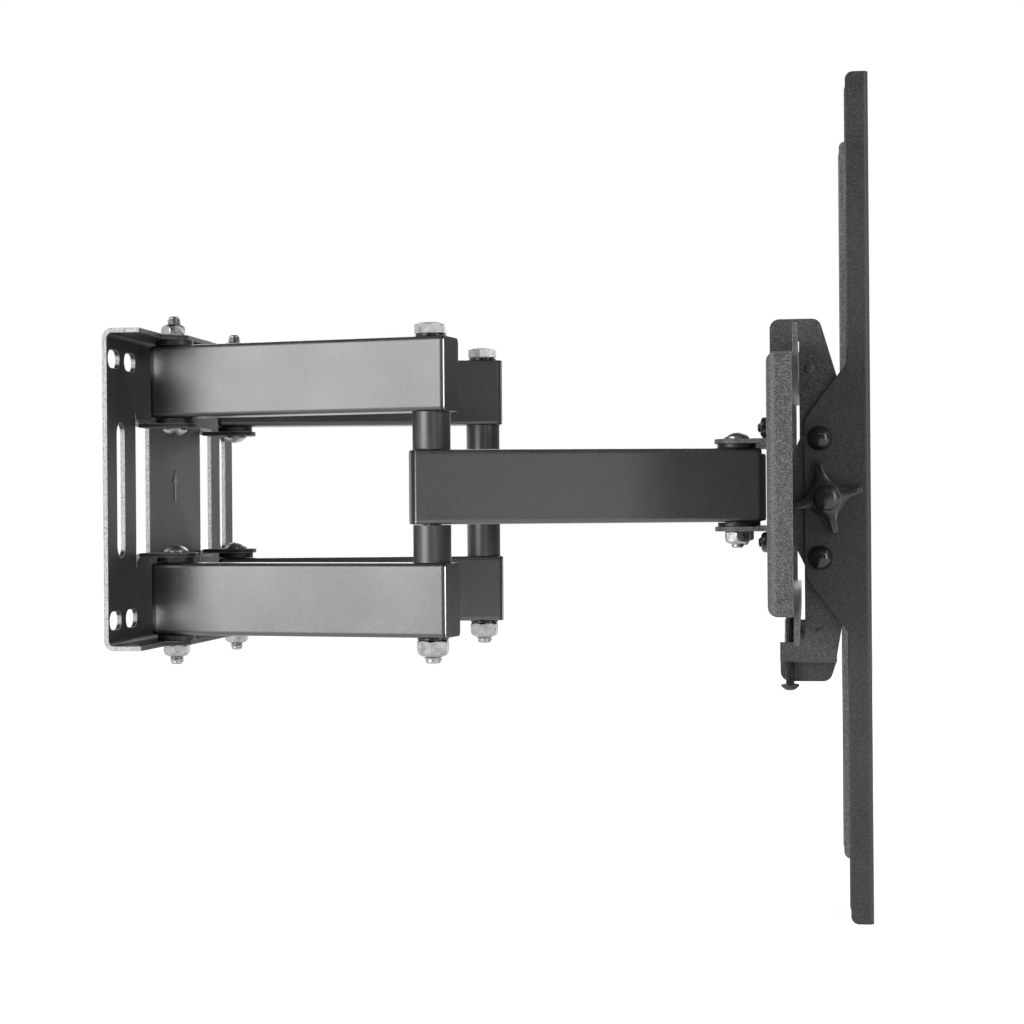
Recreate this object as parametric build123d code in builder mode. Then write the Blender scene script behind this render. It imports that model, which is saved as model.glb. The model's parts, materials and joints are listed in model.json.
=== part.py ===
from build123d import *
from math import asin, cos, degrees, radians, sin, sqrt
import os

os.makedirs("parts", exist_ok=True)

# Full motion TV wall mount, arms drawn out.
# Origin: middle of the wall plate's back face. +X away from the wall, +Z up.
# The near side is at -Y and the far side at +Y, and each is the other's mirror image.

# Wall plate
plate_width = 240.0
plate_sheet = 2.5
plate_bend = 3.0            # inside radius of the bends
flange_end_depth = 20.5     # flange depth at the plate's two ends
flange_lip = 10.0           # flange in front of the pivot axis, along its middle
flange_mid_half = 67.0      # half length of the deep middle
flange_slant = 12.0         # run of the slant between the two depths
tab_width = 23.0
tab_relief = 0.5            # gap beside a tab in its window
tab_lip = 12.0              # tab in front of the pivot axis
tab_round = 9.2
tall_slot_half = 98.0       # tall slots, from the middle
tall_slot_width = 13.0
tall_slot_height = 73.0
wall_slot_outer = 108.5     # level slots in the corners, from the middle
wall_slot_inner = 82.0
wall_slot_level = 70.5
wall_slot_length = 19.0
wall_slot_width = 10.0

# Arms
wall_pivot_out = 21.5       # pivot axis in front of the wall
wall_pivot_half = 61.0      # half distance between the wall pivots
elbow_half = 88.5           # half distance between the elbows as drawn out
head_pivot_half = 48.0      # half distance between the head pivots
first_arm_length = 153.5    # pivot to pivot
tube_width = 22.0
tube_height = 40.0
tube_wall = 2.0
tube_corner = 2.5
tube_inner_corner = 0.5
wall_overhang = 7.3         # tube past the wall pivot
elbow_overhang = 9.5        # tube past the elbow
head_overhang = 9.3         # tube past the head pivot
cap_flange = 2.2
cap_taper = 8.0             # degrees
cap_fin = 1.2               # fins that hold a cap in its tube
cap_fin_depth = 6.0
cap_fin_height = 26.0
spacer_height = 20.5        # gap between first and second arm tubes
spacer_diameter = 20.5
bush_wall = 3.0
washer_room = 3.2           # gap between a first arm tube and the plate's sheet
head_room = 2.6             # gap between a second arm tube and a head ear

# Fasteners of the arms
pivot_bolt = 8.0
pivot_head = 13.5
pivot_head_height = 4.2
pivot_nut_flats = 13.0
pivot_nut_height = 6.0
pivot_washer = 21.0
elbow_bolt = 10.0
elbow_flats = 16.0
elbow_head_height = 6.2
elbow_nut_height = 7.5
elbow_washer = 20.0
elbow_washer_height = 1.5
collar_height = 2.0         # round collar of a lock nut, above its hexagon
collar_share = 0.88         # collar's diameter, of the nut's width
thread_end = 3.0            # bolt past its nut
head_thread_end = 1.0       # the same at the head pivots, which fold between the tabs

# Fits
running = 0.08              # radial, a bolt turning in a bush
hole_room = 0.3             # radial, a bolt through sheet or tube wall
dome_rim = 0.3              # share of a domed head's height that is straight
moving_gap = 0.3            # between pieces that move past each other
open_pivot_room = 0.8       # radial, at the far head pivot

# Head bracket and front plate
head_web_out = 17.0         # bracket's web in front of the head pivots
bracket_sheet = 2.5
bracket_half_height = 38.0
bracket_side = 18.0         # bracket past the head pivots
bracket_corner = 5.0
ear_radius = 12.0
bracket_screw = 6.0
bracket_screw_head = 10.0
bracket_screw_head_height = 4.0
bracket_screw_level = 31.0
bracket_screw_inset = 9.0   # screws inside the bracket's ends
bracket_screw_end = 2.0     # screw past the front plate's web
front_width = 462.0
front_half_height = 61.0
front_drop = 2.0            # front plate's middle below the arms' middle
front_depth = 14.3
front_sheet = 2.2
front_bend = 2.5
front_notch = 6.0           # long walls stop short of the end walls
end_wall_short = 1.0        # end walls inside the long walls
end_wall_depth = 11.8
end_wall_round = 5.0        # back corners of the end walls
lip_height = 13.0

# Hook brackets, tilt and uprights
bracket_half = 100.0        # uprights, from the middle
hook_sheet = 2.5
hook_corner = 5.0
hook_over_lip = 12.0        # hook plate above the lip
hook_leg = 11.7             # leg behind the lip
hook_leg_room = 1.0         # leg above the long wall
slit_room = 0.5             # hook's slit, each side of the lip
pad_height = 7.0
pad_drop = 12.0             # pad's lower end below the middle
pad_slope_top = 22.6
pad_slope_bottom = -42.0
hook_edge_low = 2.5         # lower edge of the hook plate in front of the lip
hook_front_out = 8.0        # hook plate in front of the tilt axis
hook_top_in = 3.0           # narrow top of the hook plate, behind the tilt axis
hook_shoulder = 47.0
hook_low_shoulder = -70.0
hook_low_taper = 3.2
jaw_room = 5.5              # lower leg below the lower lip
jaw_leg = 8.0
jaw_bend = 1.0
jaw_back_in = 4.0           # jaw in front of the front plate's back
jaw_taper = 3.4             # jaw's front edge, from its shelf to its bottom
jaw_step = 13.0             # joggle of the jaw, towards the middle
jaw_drop = 13.0
tilt_out = 28.0             # tilt axis in front of the front plate's back
tilt_drop = 7.8             # tilt axis below the middle
tilt_forward = 7.0          # degrees
tilt_back = 10.0
tilt_bolt = 8.0
tilt_bolt_head = 18.0
tilt_bolt_head_height = 4.0
tilt_bolt_out = 7.0         # bolt past the upright's ear, inside the knob
guide_radius = 30.6         # guide bolts around the tilt axis
guide_lean = 6.0            # guide bolts lean back from the vertical, degrees
guide_bolt = 6.0
guide_slot_room = 0.4
guide_head = 12.5
guide_head_height = 6.0
guide_nut_flats = 10.0
guide_nut_height = 5.0
lock_screw = 5.0
lock_gap = 0.7              # lock screw behind the lower lip
lock_head = 9.5
lock_head_height = 3.6
lock_head_low = 1.0         # head below the jaw
lock_tip_room = 5.5         # tip below the front plate's long wall
upright_height = 434.0
upright_width = 30.0
upright_depth = 11.6
upright_sheet = 2.0
upright_bend = 1.0
upright_corner = 4.0
upright_out = 22.5          # upright's front face in front of the tilt axis
ear_back = 11.0             # ear's edge behind the tilt axis
ear_half = 40.0
ear_shoulder = 69.0
ear_round = 14.0
ear_root_round = 8.0        # hollow corners where the ear meets the upright
vesa_tall = 400.0
vesa_hole = 8.5
vesa_slot_width = 6.5
vesa_slot_length = 34.0
vesa_slot_places = (50.0, 100.0, 150.0)
knob_across = 37.0
knob_thick = 8.0
knob_waist = 19.0           # across the hollows between its points
knob_tip = 3.6              # width of a point's tip
knob_draft = 6.0            # degrees
knob_hub = 17.0
knob_hub_height = 3.5
knob_boss = 20.0
knob_boss_height = 1.2
knob_turn = 10.0            # degrees
knob_points = 4

# Levels and places that follow from the sizes above
second_arm_length = first_arm_length + wall_pivot_half - head_pivot_half
first_turn = degrees(asin((elbow_half - wall_pivot_half) / first_arm_length))
second_turn = degrees(asin((elbow_half - head_pivot_half) / second_arm_length))
elbow_out = wall_pivot_out + first_arm_length * cos(radians(first_turn))
head_out = elbow_out + second_arm_length * cos(radians(second_turn))
second_top = tube_height / 2
first_bottom = second_top + spacer_height
first_top = first_bottom + tube_height
first_middle = (first_bottom + first_top) / 2
tab_top = first_bottom - washer_room
tab_bottom = tab_top - plate_sheet
flange_inside = first_top + washer_room
flange_outside = flange_inside + plate_sheet
flange_mid_depth = wall_pivot_out + flange_lip
tab_end = wall_pivot_out + tab_lip
front_back = head_out + head_web_out + bracket_sheet
front_web = front_back + front_sheet
front_front = front_back + front_depth
lip_back = front_front - front_sheet
front_top = front_half_height - front_drop
front_bottom = -front_half_height - front_drop
lip_top = front_top + lip_height
lip_bottom = front_bottom - lip_height
tilt_x = front_back + tilt_out
upright_front = tilt_x + upright_out
upright_back = upright_front - upright_depth
upright_outer = bracket_half + upright_width / 2
upright_inner = bracket_half - upright_width / 2
upright_bottom = -tilt_drop - upright_height / 2
hook_outer = upright_outer - upright_sheet - moving_gap
hook_inner = hook_outer - hook_sheet
jaw_outer = hook_outer - jaw_step
jaw_top = lip_bottom - jaw_room
jaw_shelf = jaw_top - jaw_leg
jaw_bottom = jaw_shelf - jaw_drop
jaw_back = front_back + jaw_back_in
lock_out = lip_back - lock_gap - lock_screw / 2
lock_side = (hook_inner + jaw_outer) / 2
guide_places = [(tilt_x - guide_radius * sin(radians(guide_lean)),
                 up * guide_radius * cos(radians(guide_lean)) - tilt_drop) for up in (-1, 1)]
print("arms", round(first_turn, 2), round(second_turn, 2))
print("elbow", round(elbow_out, 3), "head", round(head_out, 3))
print("front plate", round(front_back, 3), "tilt", round(tilt_x, 3), "upright", round(upright_front, 3))
print("lock screw", round(lock_out, 3), round(lock_side, 3))
print("jaw", round(jaw_shelf, 3), round(jaw_bottom, 3))


def level(x, y, z, up=1):
    """Level plane at a place, facing up or down."""
    return Plane(origin=(x, y, z), x_dir=(1, 0, 0), z_dir=(0, 0, up))


def upright_plane(y, x=0.0, z=0.0, out=1):
    """Upright plane of X and Z, facing the near side or away from it."""
    return Plane(origin=(x, y, z), x_dir=(1, 0, 0), z_dir=(0, -out, 0))


def across(x, y, z, turn):
    """Plane across an arm at one of its pivots, facing along the arm."""
    angle = radians(turn)
    return Plane(origin=(x, y, z), x_dir=(-sin(angle), cos(angle), 0), z_dir=(cos(angle), sin(angle), 0))


def turned(plane):
    """The same plane, facing the other way."""
    return Plane(origin=plane.origin, x_dir=plane.x_dir, z_dir=-plane.z_dir)


def disc(plane, diameter, bore, height):
    """Washer, spacer or bush standing on a plane."""
    with BuildSketch(plane) as ring:
        Circle(diameter / 2)
        Circle(bore / 2, mode=Mode.SUBTRACT)
    extrude(ring.sketch, amount=height)


def rod(plane, diameter, length):
    """Plain round shank from a plane."""
    with BuildSketch(plane) as shank:
        Circle(diameter / 2)
    extrude(shank.sketch, amount=length)


def dome(plane, diameter, height):
    """Domed head standing on a plane, with a low straight rim."""
    rim = height * dome_rim
    rise = height - rim
    ball = (diameter ** 2 / 4 + rise ** 2) / (2 * rise)
    half_angle = asin(diameter / 2 / ball) / 2
    crown = (ball * sin(half_angle), height - ball + ball * cos(half_angle))
    with BuildSketch(Plane(origin=plane.origin, x_dir=plane.x_dir, z_dir=-plane.y_dir)) as half_section:
        with BuildLine():
            Polyline((0, height), (0, 0), (diameter / 2, 0), (diameter / 2, rim))
            ThreePointArc((diameter / 2, rim), crown, (0, height))
        make_face()
    revolve(half_section.sketch, axis=Axis(plane.origin, plane.z_dir))


def hexagon(plane, flats, bore, height):
    """Hexagon head or nut standing on a plane."""
    with BuildSketch(plane) as hexagonal:
        RegularPolygon(flats / 2, 6, major_radius=False)
        if bore:
            Circle(bore / 2, mode=Mode.SUBTRACT)
    extrude(hexagonal.sketch, amount=height)


def lock_nut(plane, flats, bolt, height):
    """Hexagon nut with the round collar that holds its insert."""
    bore = bolt + 2 * running
    hexagon(plane, flats, bore, height)
    disc(plane.offset(height), flats * collar_share, bore, collar_height)


def tube(start, length, bores):
    """Hollow rounded tube from a plane, bored through its top and bottom walls."""
    with BuildSketch(start) as wall:
        RectangleRounded(tube_width, tube_height, tube_corner)
        RectangleRounded(tube_width - 2 * tube_wall, tube_height - 2 * tube_wall, tube_inner_corner,
                         mode=Mode.SUBTRACT)
    extrude(wall.sketch, amount=length)
    for plane, diameter in bores:
        with BuildSketch(plane) as bore:
            Circle(diameter / 2)
        extrude(bore.sketch, amount=tube_height, both=True, mode=Mode.SUBTRACT)


def end_cap(plane):
    """Cap on a tube's end: a tapered face, and two fins inside the tube."""
    with BuildSketch(plane) as cap:
        RectangleRounded(tube_width, tube_height, tube_corner)
    extrude(cap.sketch, amount=cap_flange, taper=cap_taper)
    fin_place = tube_width / 2 - tube_wall - cap_fin / 2
    with BuildSketch(plane) as fins:
        with Locations((-fin_place, 0), (fin_place, 0)):
            Rectangle(cap_fin, cap_fin_height)
    extrude(fins.sketch, amount=-cap_fin_depth)


def write(piece, name):
    """Name a finished piece and write it out."""
    piece.label = name
    export_step(piece, f"parts/{name}.step")


def write_pair(piece, name):
    """Write a near side piece, and its mirror image for the far side."""
    write(piece, f"near_{name}")
    with BuildPart() as twin:
        mirror(piece, about=Plane.XZ)
    write(twin.part, f"far_{name}")


# Wall plate: a channel, with two level tabs bent out of each of its windows
bend_outside = plate_bend + plate_sheet
window_top = tab_top + bend_outside
half_turn = 1 - sqrt(0.5)
with BuildPart() as wall_plate:
    with BuildSketch(Plane.XZ) as section:
        with BuildLine():
            Polyline(
                (flange_mid_depth, flange_outside), (0, flange_outside), (0, -flange_outside),
                (flange_mid_depth, -flange_outside), (flange_mid_depth, -flange_inside),
                (plate_sheet, -flange_inside), (plate_sheet, flange_inside),
                (flange_mid_depth, flange_inside), close=True,
            )
        make_face()
        fillet(section.vertices().filter_by(lambda v: abs(v.X) < 0.01), bend_outside)
        fillet(section.vertices().filter_by(
            lambda v: abs(v.X - plate_sheet) < 0.01 and abs(abs(v.Y) - flange_inside) < 0.01), plate_bend)
    extrude(amount=plate_width / 2, both=True)
    slant_end = flange_mid_half + flange_slant
    with BuildSketch(Plane.XY):
        for side in (-1, 1):
            with BuildLine():
                Polyline(
                    (flange_end_depth, side * plate_width), (flange_end_depth, side * slant_end),
                    (flange_mid_depth, side * flange_mid_half),
                    (2 * flange_mid_depth, side * flange_mid_half),
                    (2 * flange_mid_depth, side * plate_width), close=True,
                )
            make_face()
    extrude(amount=2 * flange_outside, both=True, mode=Mode.SUBTRACT)
    with BuildSketch(Plane.YZ):
        for side in (-1, 1):
            with Locations((side * wall_pivot_half, 0)):
                Rectangle(tab_width + 2 * tab_relief, 2 * window_top)
            with Locations((side * tall_slot_half, 0)):
                SlotOverall(tall_slot_height, tall_slot_width, rotation=90)
            for place in (wall_slot_outer, wall_slot_inner):
                for height in (-wall_slot_level, wall_slot_level):
                    with Locations((side * place, height)):
                        SlotOverall(wall_slot_length, wall_slot_width)
    extrude(amount=plate_sheet, mode=Mode.SUBTRACT)
    for side in (-1, 1):
        for up in (-1, 1):
            bend_level = tab_top + plate_bend
            with BuildSketch(upright_plane(side * wall_pivot_half)):
                with BuildLine():
                    Polyline((0, up * bend_level), (0, up * window_top), (plate_sheet, up * window_top),
                             (plate_sheet, up * bend_level))
                    ThreePointArc(
                        (plate_sheet, up * bend_level),
                        (plate_sheet + plate_bend * half_turn, up * (tab_top + plate_bend * half_turn)),
                        (bend_outside, up * tab_top),
                    )
                    Polyline((bend_outside, up * tab_top), (tab_end, up * tab_top),
                             (tab_end, up * tab_bottom),
                             (bend_outside, up * tab_bottom))
                    ThreePointArc(
                        (bend_outside, up * tab_bottom),
                        (bend_outside * half_turn, up * (tab_bottom + bend_outside * half_turn)),
                        (0, up * bend_level),
                    )
                make_face()
            extrude(amount=tab_width / 2, both=True)
    tips = wall_plate.edges().filter_by(Axis.Z).filter_by(lambda e: abs(e.center().X - tab_end) < 0.01)
    fillet(tips, tab_round)
    with BuildSketch(Plane.XY):
        with Locations((wall_pivot_out, -wall_pivot_half), (wall_pivot_out, wall_pivot_half)):
            Circle(pivot_bolt / 2 + hole_room)
    extrude(amount=2 * flange_outside, both=True, mode=Mode.SUBTRACT)
write(wall_plate.part, "wall_plate")

# Wall pivots: heads on the inner tabs, nuts on the outer flanges
wall_pivots = [(side * wall_pivot_half, up) for side in (-1, 1) for up in (-1, 1)]
wall_bolt_length = flange_outside - tab_bottom + pivot_nut_height + collar_height + thread_end
with BuildPart() as wall_bolts:
    for y, up in wall_pivots:
        rod(level(wall_pivot_out, y, up * tab_bottom, up), pivot_bolt, wall_bolt_length)
        dome(level(wall_pivot_out, y, up * tab_bottom, -up), pivot_head, pivot_head_height)
write(wall_bolts.part, "wall_pivot_bolts")

with BuildPart() as wall_nuts:
    for y, up in wall_pivots:
        lock_nut(level(wall_pivot_out, y, up * flange_outside, up), pivot_nut_flats, pivot_bolt,
                 pivot_nut_height)
write(wall_nuts.part, "wall_pivot_nuts")

with BuildPart() as wall_washers:
    for y, up in wall_pivots:
        for base, lift in ((tab_top, up), (flange_inside, -up)):
            disc(level(wall_pivot_out, y, up * base, lift), pivot_washer, pivot_bolt + 2 * running,
                 washer_room - moving_gap)
write(wall_washers.part, "wall_pivot_washers")

# The two arms, each with an upper and a lower first tube and one second tube between them
first_length = wall_overhang + first_arm_length + elbow_overhang
second_length = elbow_overhang + second_arm_length + head_overhang
bush_height = tube_height - 2 * tube_wall
elbow_seat = first_top + elbow_washer_height
elbow_reach = 2 * elbow_seat + elbow_nut_height + collar_height + thread_end
for side, name in ((-1, "near"), (1, "far")):
    wall_y = side * wall_pivot_half
    elbow_y = side * elbow_half
    head_y = side * head_pivot_half
    out_turn = side * first_turn
    in_turn = -side * second_turn

    for up, place in ((1, "upper"), (-1, "lower")):
        middle = up * first_middle
        with BuildPart() as first_tube:
            tube(
                across(wall_pivot_out, wall_y, middle, out_turn).offset(-wall_overhang), first_length,
                ((level(wall_pivot_out, wall_y, middle), pivot_bolt + 2 * hole_room),
                 (level(elbow_out, elbow_y, middle), elbow_bolt + 2 * hole_room)),
            )
        write(first_tube.part, f"{name}_{place}_first_tube")

    with BuildPart() as first_caps:
        for middle in (-first_middle, first_middle):
            end_cap(turned(across(wall_pivot_out, wall_y, middle, out_turn).offset(-wall_overhang)))
            end_cap(across(elbow_out, elbow_y, middle, out_turn).offset(elbow_overhang))
    write(first_caps.part, f"{name}_first_caps")

    with BuildPart() as first_bushes:
        for middle in (-first_middle, first_middle):
            disc(level(wall_pivot_out, wall_y, middle - bush_height / 2), pivot_bolt + 2 * bush_wall,
                 pivot_bolt + 2 * running, bush_height)
    write(first_bushes.part, f"{name}_first_bushes")

    with BuildPart() as spacers:
        for up in (-1, 1):
            disc(level(elbow_out, elbow_y, up * first_bottom, -up), spacer_diameter, elbow_bolt + 2 * running,
                 spacer_height - moving_gap)
    write(spacers.part, f"{name}_elbow_spacers")

    with BuildPart() as elbow_washers:
        for up in (-1, 1):
            disc(level(elbow_out, elbow_y, up * first_top, up), elbow_washer, elbow_bolt + 2 * running,
                 elbow_washer_height)
    write(elbow_washers.part, f"{name}_elbow_washers")

    with BuildPart() as long_bolt:
        rod(level(elbow_out, elbow_y, elbow_seat, -1), elbow_bolt, elbow_reach)
        hexagon(level(elbow_out, elbow_y, elbow_seat), elbow_flats, 0, elbow_head_height)
    write(long_bolt.part, f"{name}_elbow_bolt")

    with BuildPart() as elbow_nut:
        lock_nut(level(elbow_out, elbow_y, -elbow_seat, -1), elbow_flats, elbow_bolt, elbow_nut_height)
    write(elbow_nut.part, f"{name}_elbow_nut")

    # The far arm's bore is wider at the head, to take up the small error of the joined fold
    head_fit = running if side < 0 else open_pivot_room
    with BuildPart() as second_tube:
        tube(
            across(elbow_out, elbow_y, 0, in_turn).offset(-elbow_overhang), second_length,
            ((level(elbow_out, elbow_y, 0), elbow_bolt + 2 * hole_room),
             (level(head_out, head_y, 0), pivot_bolt + 2 * max(hole_room, head_fit))),
        )
    write(second_tube.part, f"{name}_second_tube")

    with BuildPart() as second_caps:
        end_cap(turned(across(elbow_out, elbow_y, 0, in_turn).offset(-elbow_overhang)))
        end_cap(across(head_out, head_y, 0, in_turn).offset(head_overhang))
    write(second_caps.part, f"{name}_second_caps")

    with BuildPart() as second_bushes:
        disc(level(elbow_out, elbow_y, -bush_height / 2), elbow_bolt + 2 * bush_wall,
             elbow_bolt + 2 * running, bush_height)
        disc(level(head_out, head_y, -bush_height / 2), pivot_bolt + 2 * bush_wall, pivot_bolt + 2 * head_fit,
             bush_height)
    write(second_bushes.part, f"{name}_second_bushes")

# Head bracket: a web with an ear above and below each second arm
ear_inside = second_top + head_room
ear_outside = ear_inside + bracket_sheet
bracket_web = head_out + head_web_out
bracket_half_width = head_pivot_half + bracket_side
head_pivots = [side * head_pivot_half for side in (-1, 1)]
screw_places = [(side * (bracket_half_width - bracket_screw_inset), up * bracket_screw_level)
                for side in (-1, 1) for up in (-1, 1)]
with BuildPart() as head_bracket:
    with BuildSketch(Plane.YZ.offset(bracket_web)):
        RectangleRounded(2 * bracket_half_width, 2 * bracket_half_height, bracket_corner)
        with Locations(*screw_places):
            Circle(bracket_screw / 2 + hole_room, mode=Mode.SUBTRACT)
    extrude(amount=bracket_sheet)
    for up in (-1, 1):
        with BuildSketch(level(0, 0, up * ear_inside)):
            for y in head_pivots:
                with Locations((head_out, y)):
                    Circle(ear_radius)
                with Locations((head_out + head_web_out / 2, y)):
                    Rectangle(head_web_out, 2 * ear_radius)
                with Locations((head_out, y)):
                    Circle(pivot_bolt / 2 + hole_room, mode=Mode.SUBTRACT)
        extrude(amount=up * bracket_sheet)
write(head_bracket.part, "head_bracket")

head_bolt_length = 2 * ear_outside + pivot_nut_height + collar_height + head_thread_end
with BuildPart() as head_bolts:
    for y in head_pivots:
        rod(level(head_out, y, ear_outside, -1), pivot_bolt, head_bolt_length)
        dome(level(head_out, y, ear_outside), pivot_head, pivot_head_height)
write(head_bolts.part, "head_pivot_bolts")

with BuildPart() as head_nuts:
    for y in head_pivots:
        lock_nut(level(head_out, y, -ear_outside, -1), pivot_nut_flats, pivot_bolt, pivot_nut_height)
write(head_nuts.part, "head_pivot_nuts")

with BuildPart() as head_washers:
    for y in head_pivots:
        for up in (-1, 1):
            disc(level(head_out, y, up * ear_inside, -up), pivot_washer, pivot_bolt + 2 * running,
                 head_room - moving_gap)
write(head_washers.part, "head_pivot_washers")

with BuildPart() as bracket_screws:
    for y, z in screw_places:
        seat = Plane(origin=(bracket_web, y, z), x_dir=(0, 1, 0), z_dir=(-1, 0, 0))
        rod(turned(seat), bracket_screw, bracket_sheet + front_sheet + bracket_screw_end)
        dome(seat, bracket_screw_head, bracket_screw_head_height)
write(bracket_screws.part, "head_bracket_screws")

# Front plate: a wide pan, with a lip standing up from its top wall and one hanging from its bottom wall
front_turn = front_bend + front_sheet
end_front = front_back + end_wall_depth
with BuildPart() as pan_ends:
    with BuildSketch(level(0, 0, -front_drop)) as ends:
        with BuildLine():
            Polyline(
                (end_front, front_width / 2), (front_back, front_width / 2), (front_back, -front_width / 2),
                (end_front, -front_width / 2), (end_front, front_sheet - front_width / 2),
                (front_web, front_sheet - front_width / 2), (front_web, front_width / 2 - front_sheet),
                (end_front, front_width / 2 - front_sheet), close=True,
            )
        make_face()
        fillet(ends.vertices().filter_by(lambda v: abs(v.X - front_back) < 0.01), front_turn)
        fillet(ends.vertices().filter_by(
            lambda v: abs(v.X - front_web) < 0.01 and abs(v.Y) > front_width / 4), front_bend)
    extrude(amount=front_half_height, both=True)
    with BuildSketch(Plane.XZ) as end_outline:
        with BuildLine():
            Polyline(
                (front_back, front_top - end_wall_short), (end_front, front_top - end_wall_short),
                (end_front, front_bottom + end_wall_short), (front_back, front_bottom + end_wall_short),
                close=True,
            )
        make_face()
        fillet(end_outline.vertices().filter_by(lambda v: abs(v.X - front_back) < 0.01), end_wall_round)
    extrude(amount=front_width, both=True, mode=Mode.INTERSECT)

with BuildPart() as front_plate:
    with BuildSketch(Plane.XZ) as section:
        with BuildLine():
            Polyline(
                (front_back, front_top), (lip_back, front_top), (lip_back, lip_top), (front_front, lip_top),
                (front_front, front_top - front_sheet), (front_web, front_top - front_sheet),
                (front_web, front_bottom + front_sheet), (front_front, front_bottom + front_sheet),
                (front_front, lip_bottom), (lip_back, lip_bottom), (lip_back, front_bottom),
                (front_back, front_bottom), close=True,
            )
        make_face()
        fillet(section.vertices().filter_by(lambda v: abs(v.X - front_back) < 0.01), front_turn)
        fillet(section.vertices().filter_by(
            lambda v: abs(v.X - front_web) < 0.01 and abs(v.Y) > front_half_height / 2), front_bend)
    extrude(amount=front_width / 2 - front_notch, both=True)
    add(pan_ends.part)
    with BuildSketch(Plane.YZ.offset(front_back)):
        with Locations(*screw_places):
            Circle(bracket_screw / 2 + hole_room)
    extrude(amount=front_sheet, mode=Mode.SUBTRACT)
write(front_plate.part, "front_plate")

# Hook plate: a slit over the upper lip, a pad on the pan's web, a joggled jaw below the lower lip
slit_back = lip_back - slit_room
slit_front = front_front + slit_room
leg_back = slit_back - hook_leg
leg_bottom = front_top + hook_leg_room
hook_top = lip_top + hook_over_lip
low_edge = front_front + hook_edge_low
pad_face = front_web + moving_gap
hook_front = tilt_x + hook_front_out
jaw_line = jaw_shelf + jaw_bend
jaw_front = hook_front - hook_low_taper
guide_travel = tilt_forward + tilt_back
tilt_place = (tilt_x, -tilt_drop)
guide_paths = [CenterArc(tilt_place, guide_radius, start - tilt_forward, guide_travel)
               for start in (90 + guide_lean, -90 - guide_lean)]
with BuildPart() as hook_plate:
    with BuildSketch(upright_plane(-hook_outer)) as outline:
        with BuildLine():
            Polyline(
                (leg_back, hook_top), (tilt_x - hook_top_in, hook_top), (hook_front, hook_shoulder),
                (hook_front, hook_low_shoulder), (jaw_front, jaw_line),
                (jaw_back, jaw_line), (jaw_back, jaw_top), (low_edge, jaw_top), (low_edge, pad_slope_bottom),
                (pad_face, -pad_drop), (pad_face, pad_height - pad_drop), (slit_front, pad_slope_top),
                (slit_front, lip_top + slit_room), (slit_back, lip_top + slit_room), (slit_back, leg_bottom),
                (leg_back, leg_bottom), close=True,
            )
        make_face()
        fillet(outline.vertices().filter_by(lambda v: v.Y > hook_top - 0.01), hook_corner)
        for path in guide_paths:
            SlotArc(path, guide_bolt + 2 * guide_slot_room, mode=Mode.SUBTRACT)
        with Locations(tilt_place):
            Circle(tilt_bolt / 2 + running, mode=Mode.SUBTRACT)
    extrude(amount=-hook_sheet)
    with BuildSketch(Plane.YZ.offset(jaw_back)) as joggle:
        with BuildLine():
            Polyline(
                (-hook_outer, jaw_line + jaw_leg / 2), (-hook_outer, jaw_shelf - hook_sheet),
                (-jaw_outer, jaw_shelf - hook_sheet), (-jaw_outer, jaw_bottom),
                (hook_sheet - jaw_outer, jaw_bottom), (hook_sheet - jaw_outer, jaw_shelf),
                (-hook_inner, jaw_shelf), (-hook_inner, jaw_line + jaw_leg / 2), close=True,
            )
        make_face()
        inside_bends = [(-jaw_outer, jaw_shelf - hook_sheet), (-hook_inner, jaw_shelf)]
        outside_bends = [(-hook_outer, jaw_shelf - hook_sheet), (hook_sheet - jaw_outer, jaw_shelf)]
        for bends, radius in ((inside_bends, jaw_bend), (outside_bends, jaw_bend + hook_sheet)):
            fillet([joggle.vertices().sort_by_distance(bend)[0] for bend in bends], radius)
    extrude(amount=jaw_front - jaw_back)
    with BuildSketch(upright_plane(-hook_outer)):
        with BuildLine():
            Polyline(
                (jaw_front, jaw_shelf - hook_sheet), (hook_front, jaw_shelf - hook_sheet),
                (hook_front, jaw_bottom), (jaw_front - jaw_taper, jaw_bottom), close=True,
            )
        make_face()
    extrude(amount=-jaw_step - hook_sheet, mode=Mode.SUBTRACT)
    fillet(hook_plate.edges().filter_by(Axis.Y).group_by(Axis.Z)[0], hook_corner)
    with BuildSketch(level(lock_out, -lock_side, jaw_shelf)):
        Circle(lock_screw / 2 + running)
    extrude(amount=2 * hook_sheet, both=True, mode=Mode.SUBTRACT)
write_pair(hook_plate.part, "hook_plate")

with BuildPart() as pivot_bolt_part:
    rod(upright_plane(-hook_inner, tilt_x, -tilt_drop), tilt_bolt,
        upright_outer + tilt_bolt_out - hook_inner)
    dome(upright_plane(-hook_inner, tilt_x, -tilt_drop, -1), tilt_bolt_head, tilt_bolt_head_height)
write_pair(pivot_bolt_part.part, "tilt_bolt")

lock_tip = front_bottom - lock_tip_room
lock_seat = jaw_bottom - lock_head_low
with BuildPart() as locking_screw:
    rod(level(lock_out, -lock_side, lock_seat), lock_screw, lock_tip - lock_seat)
    dome(level(lock_out, -lock_side, lock_seat, -1), lock_head, lock_head_height)
write_pair(locking_screw.part, "lock_screw")

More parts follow.
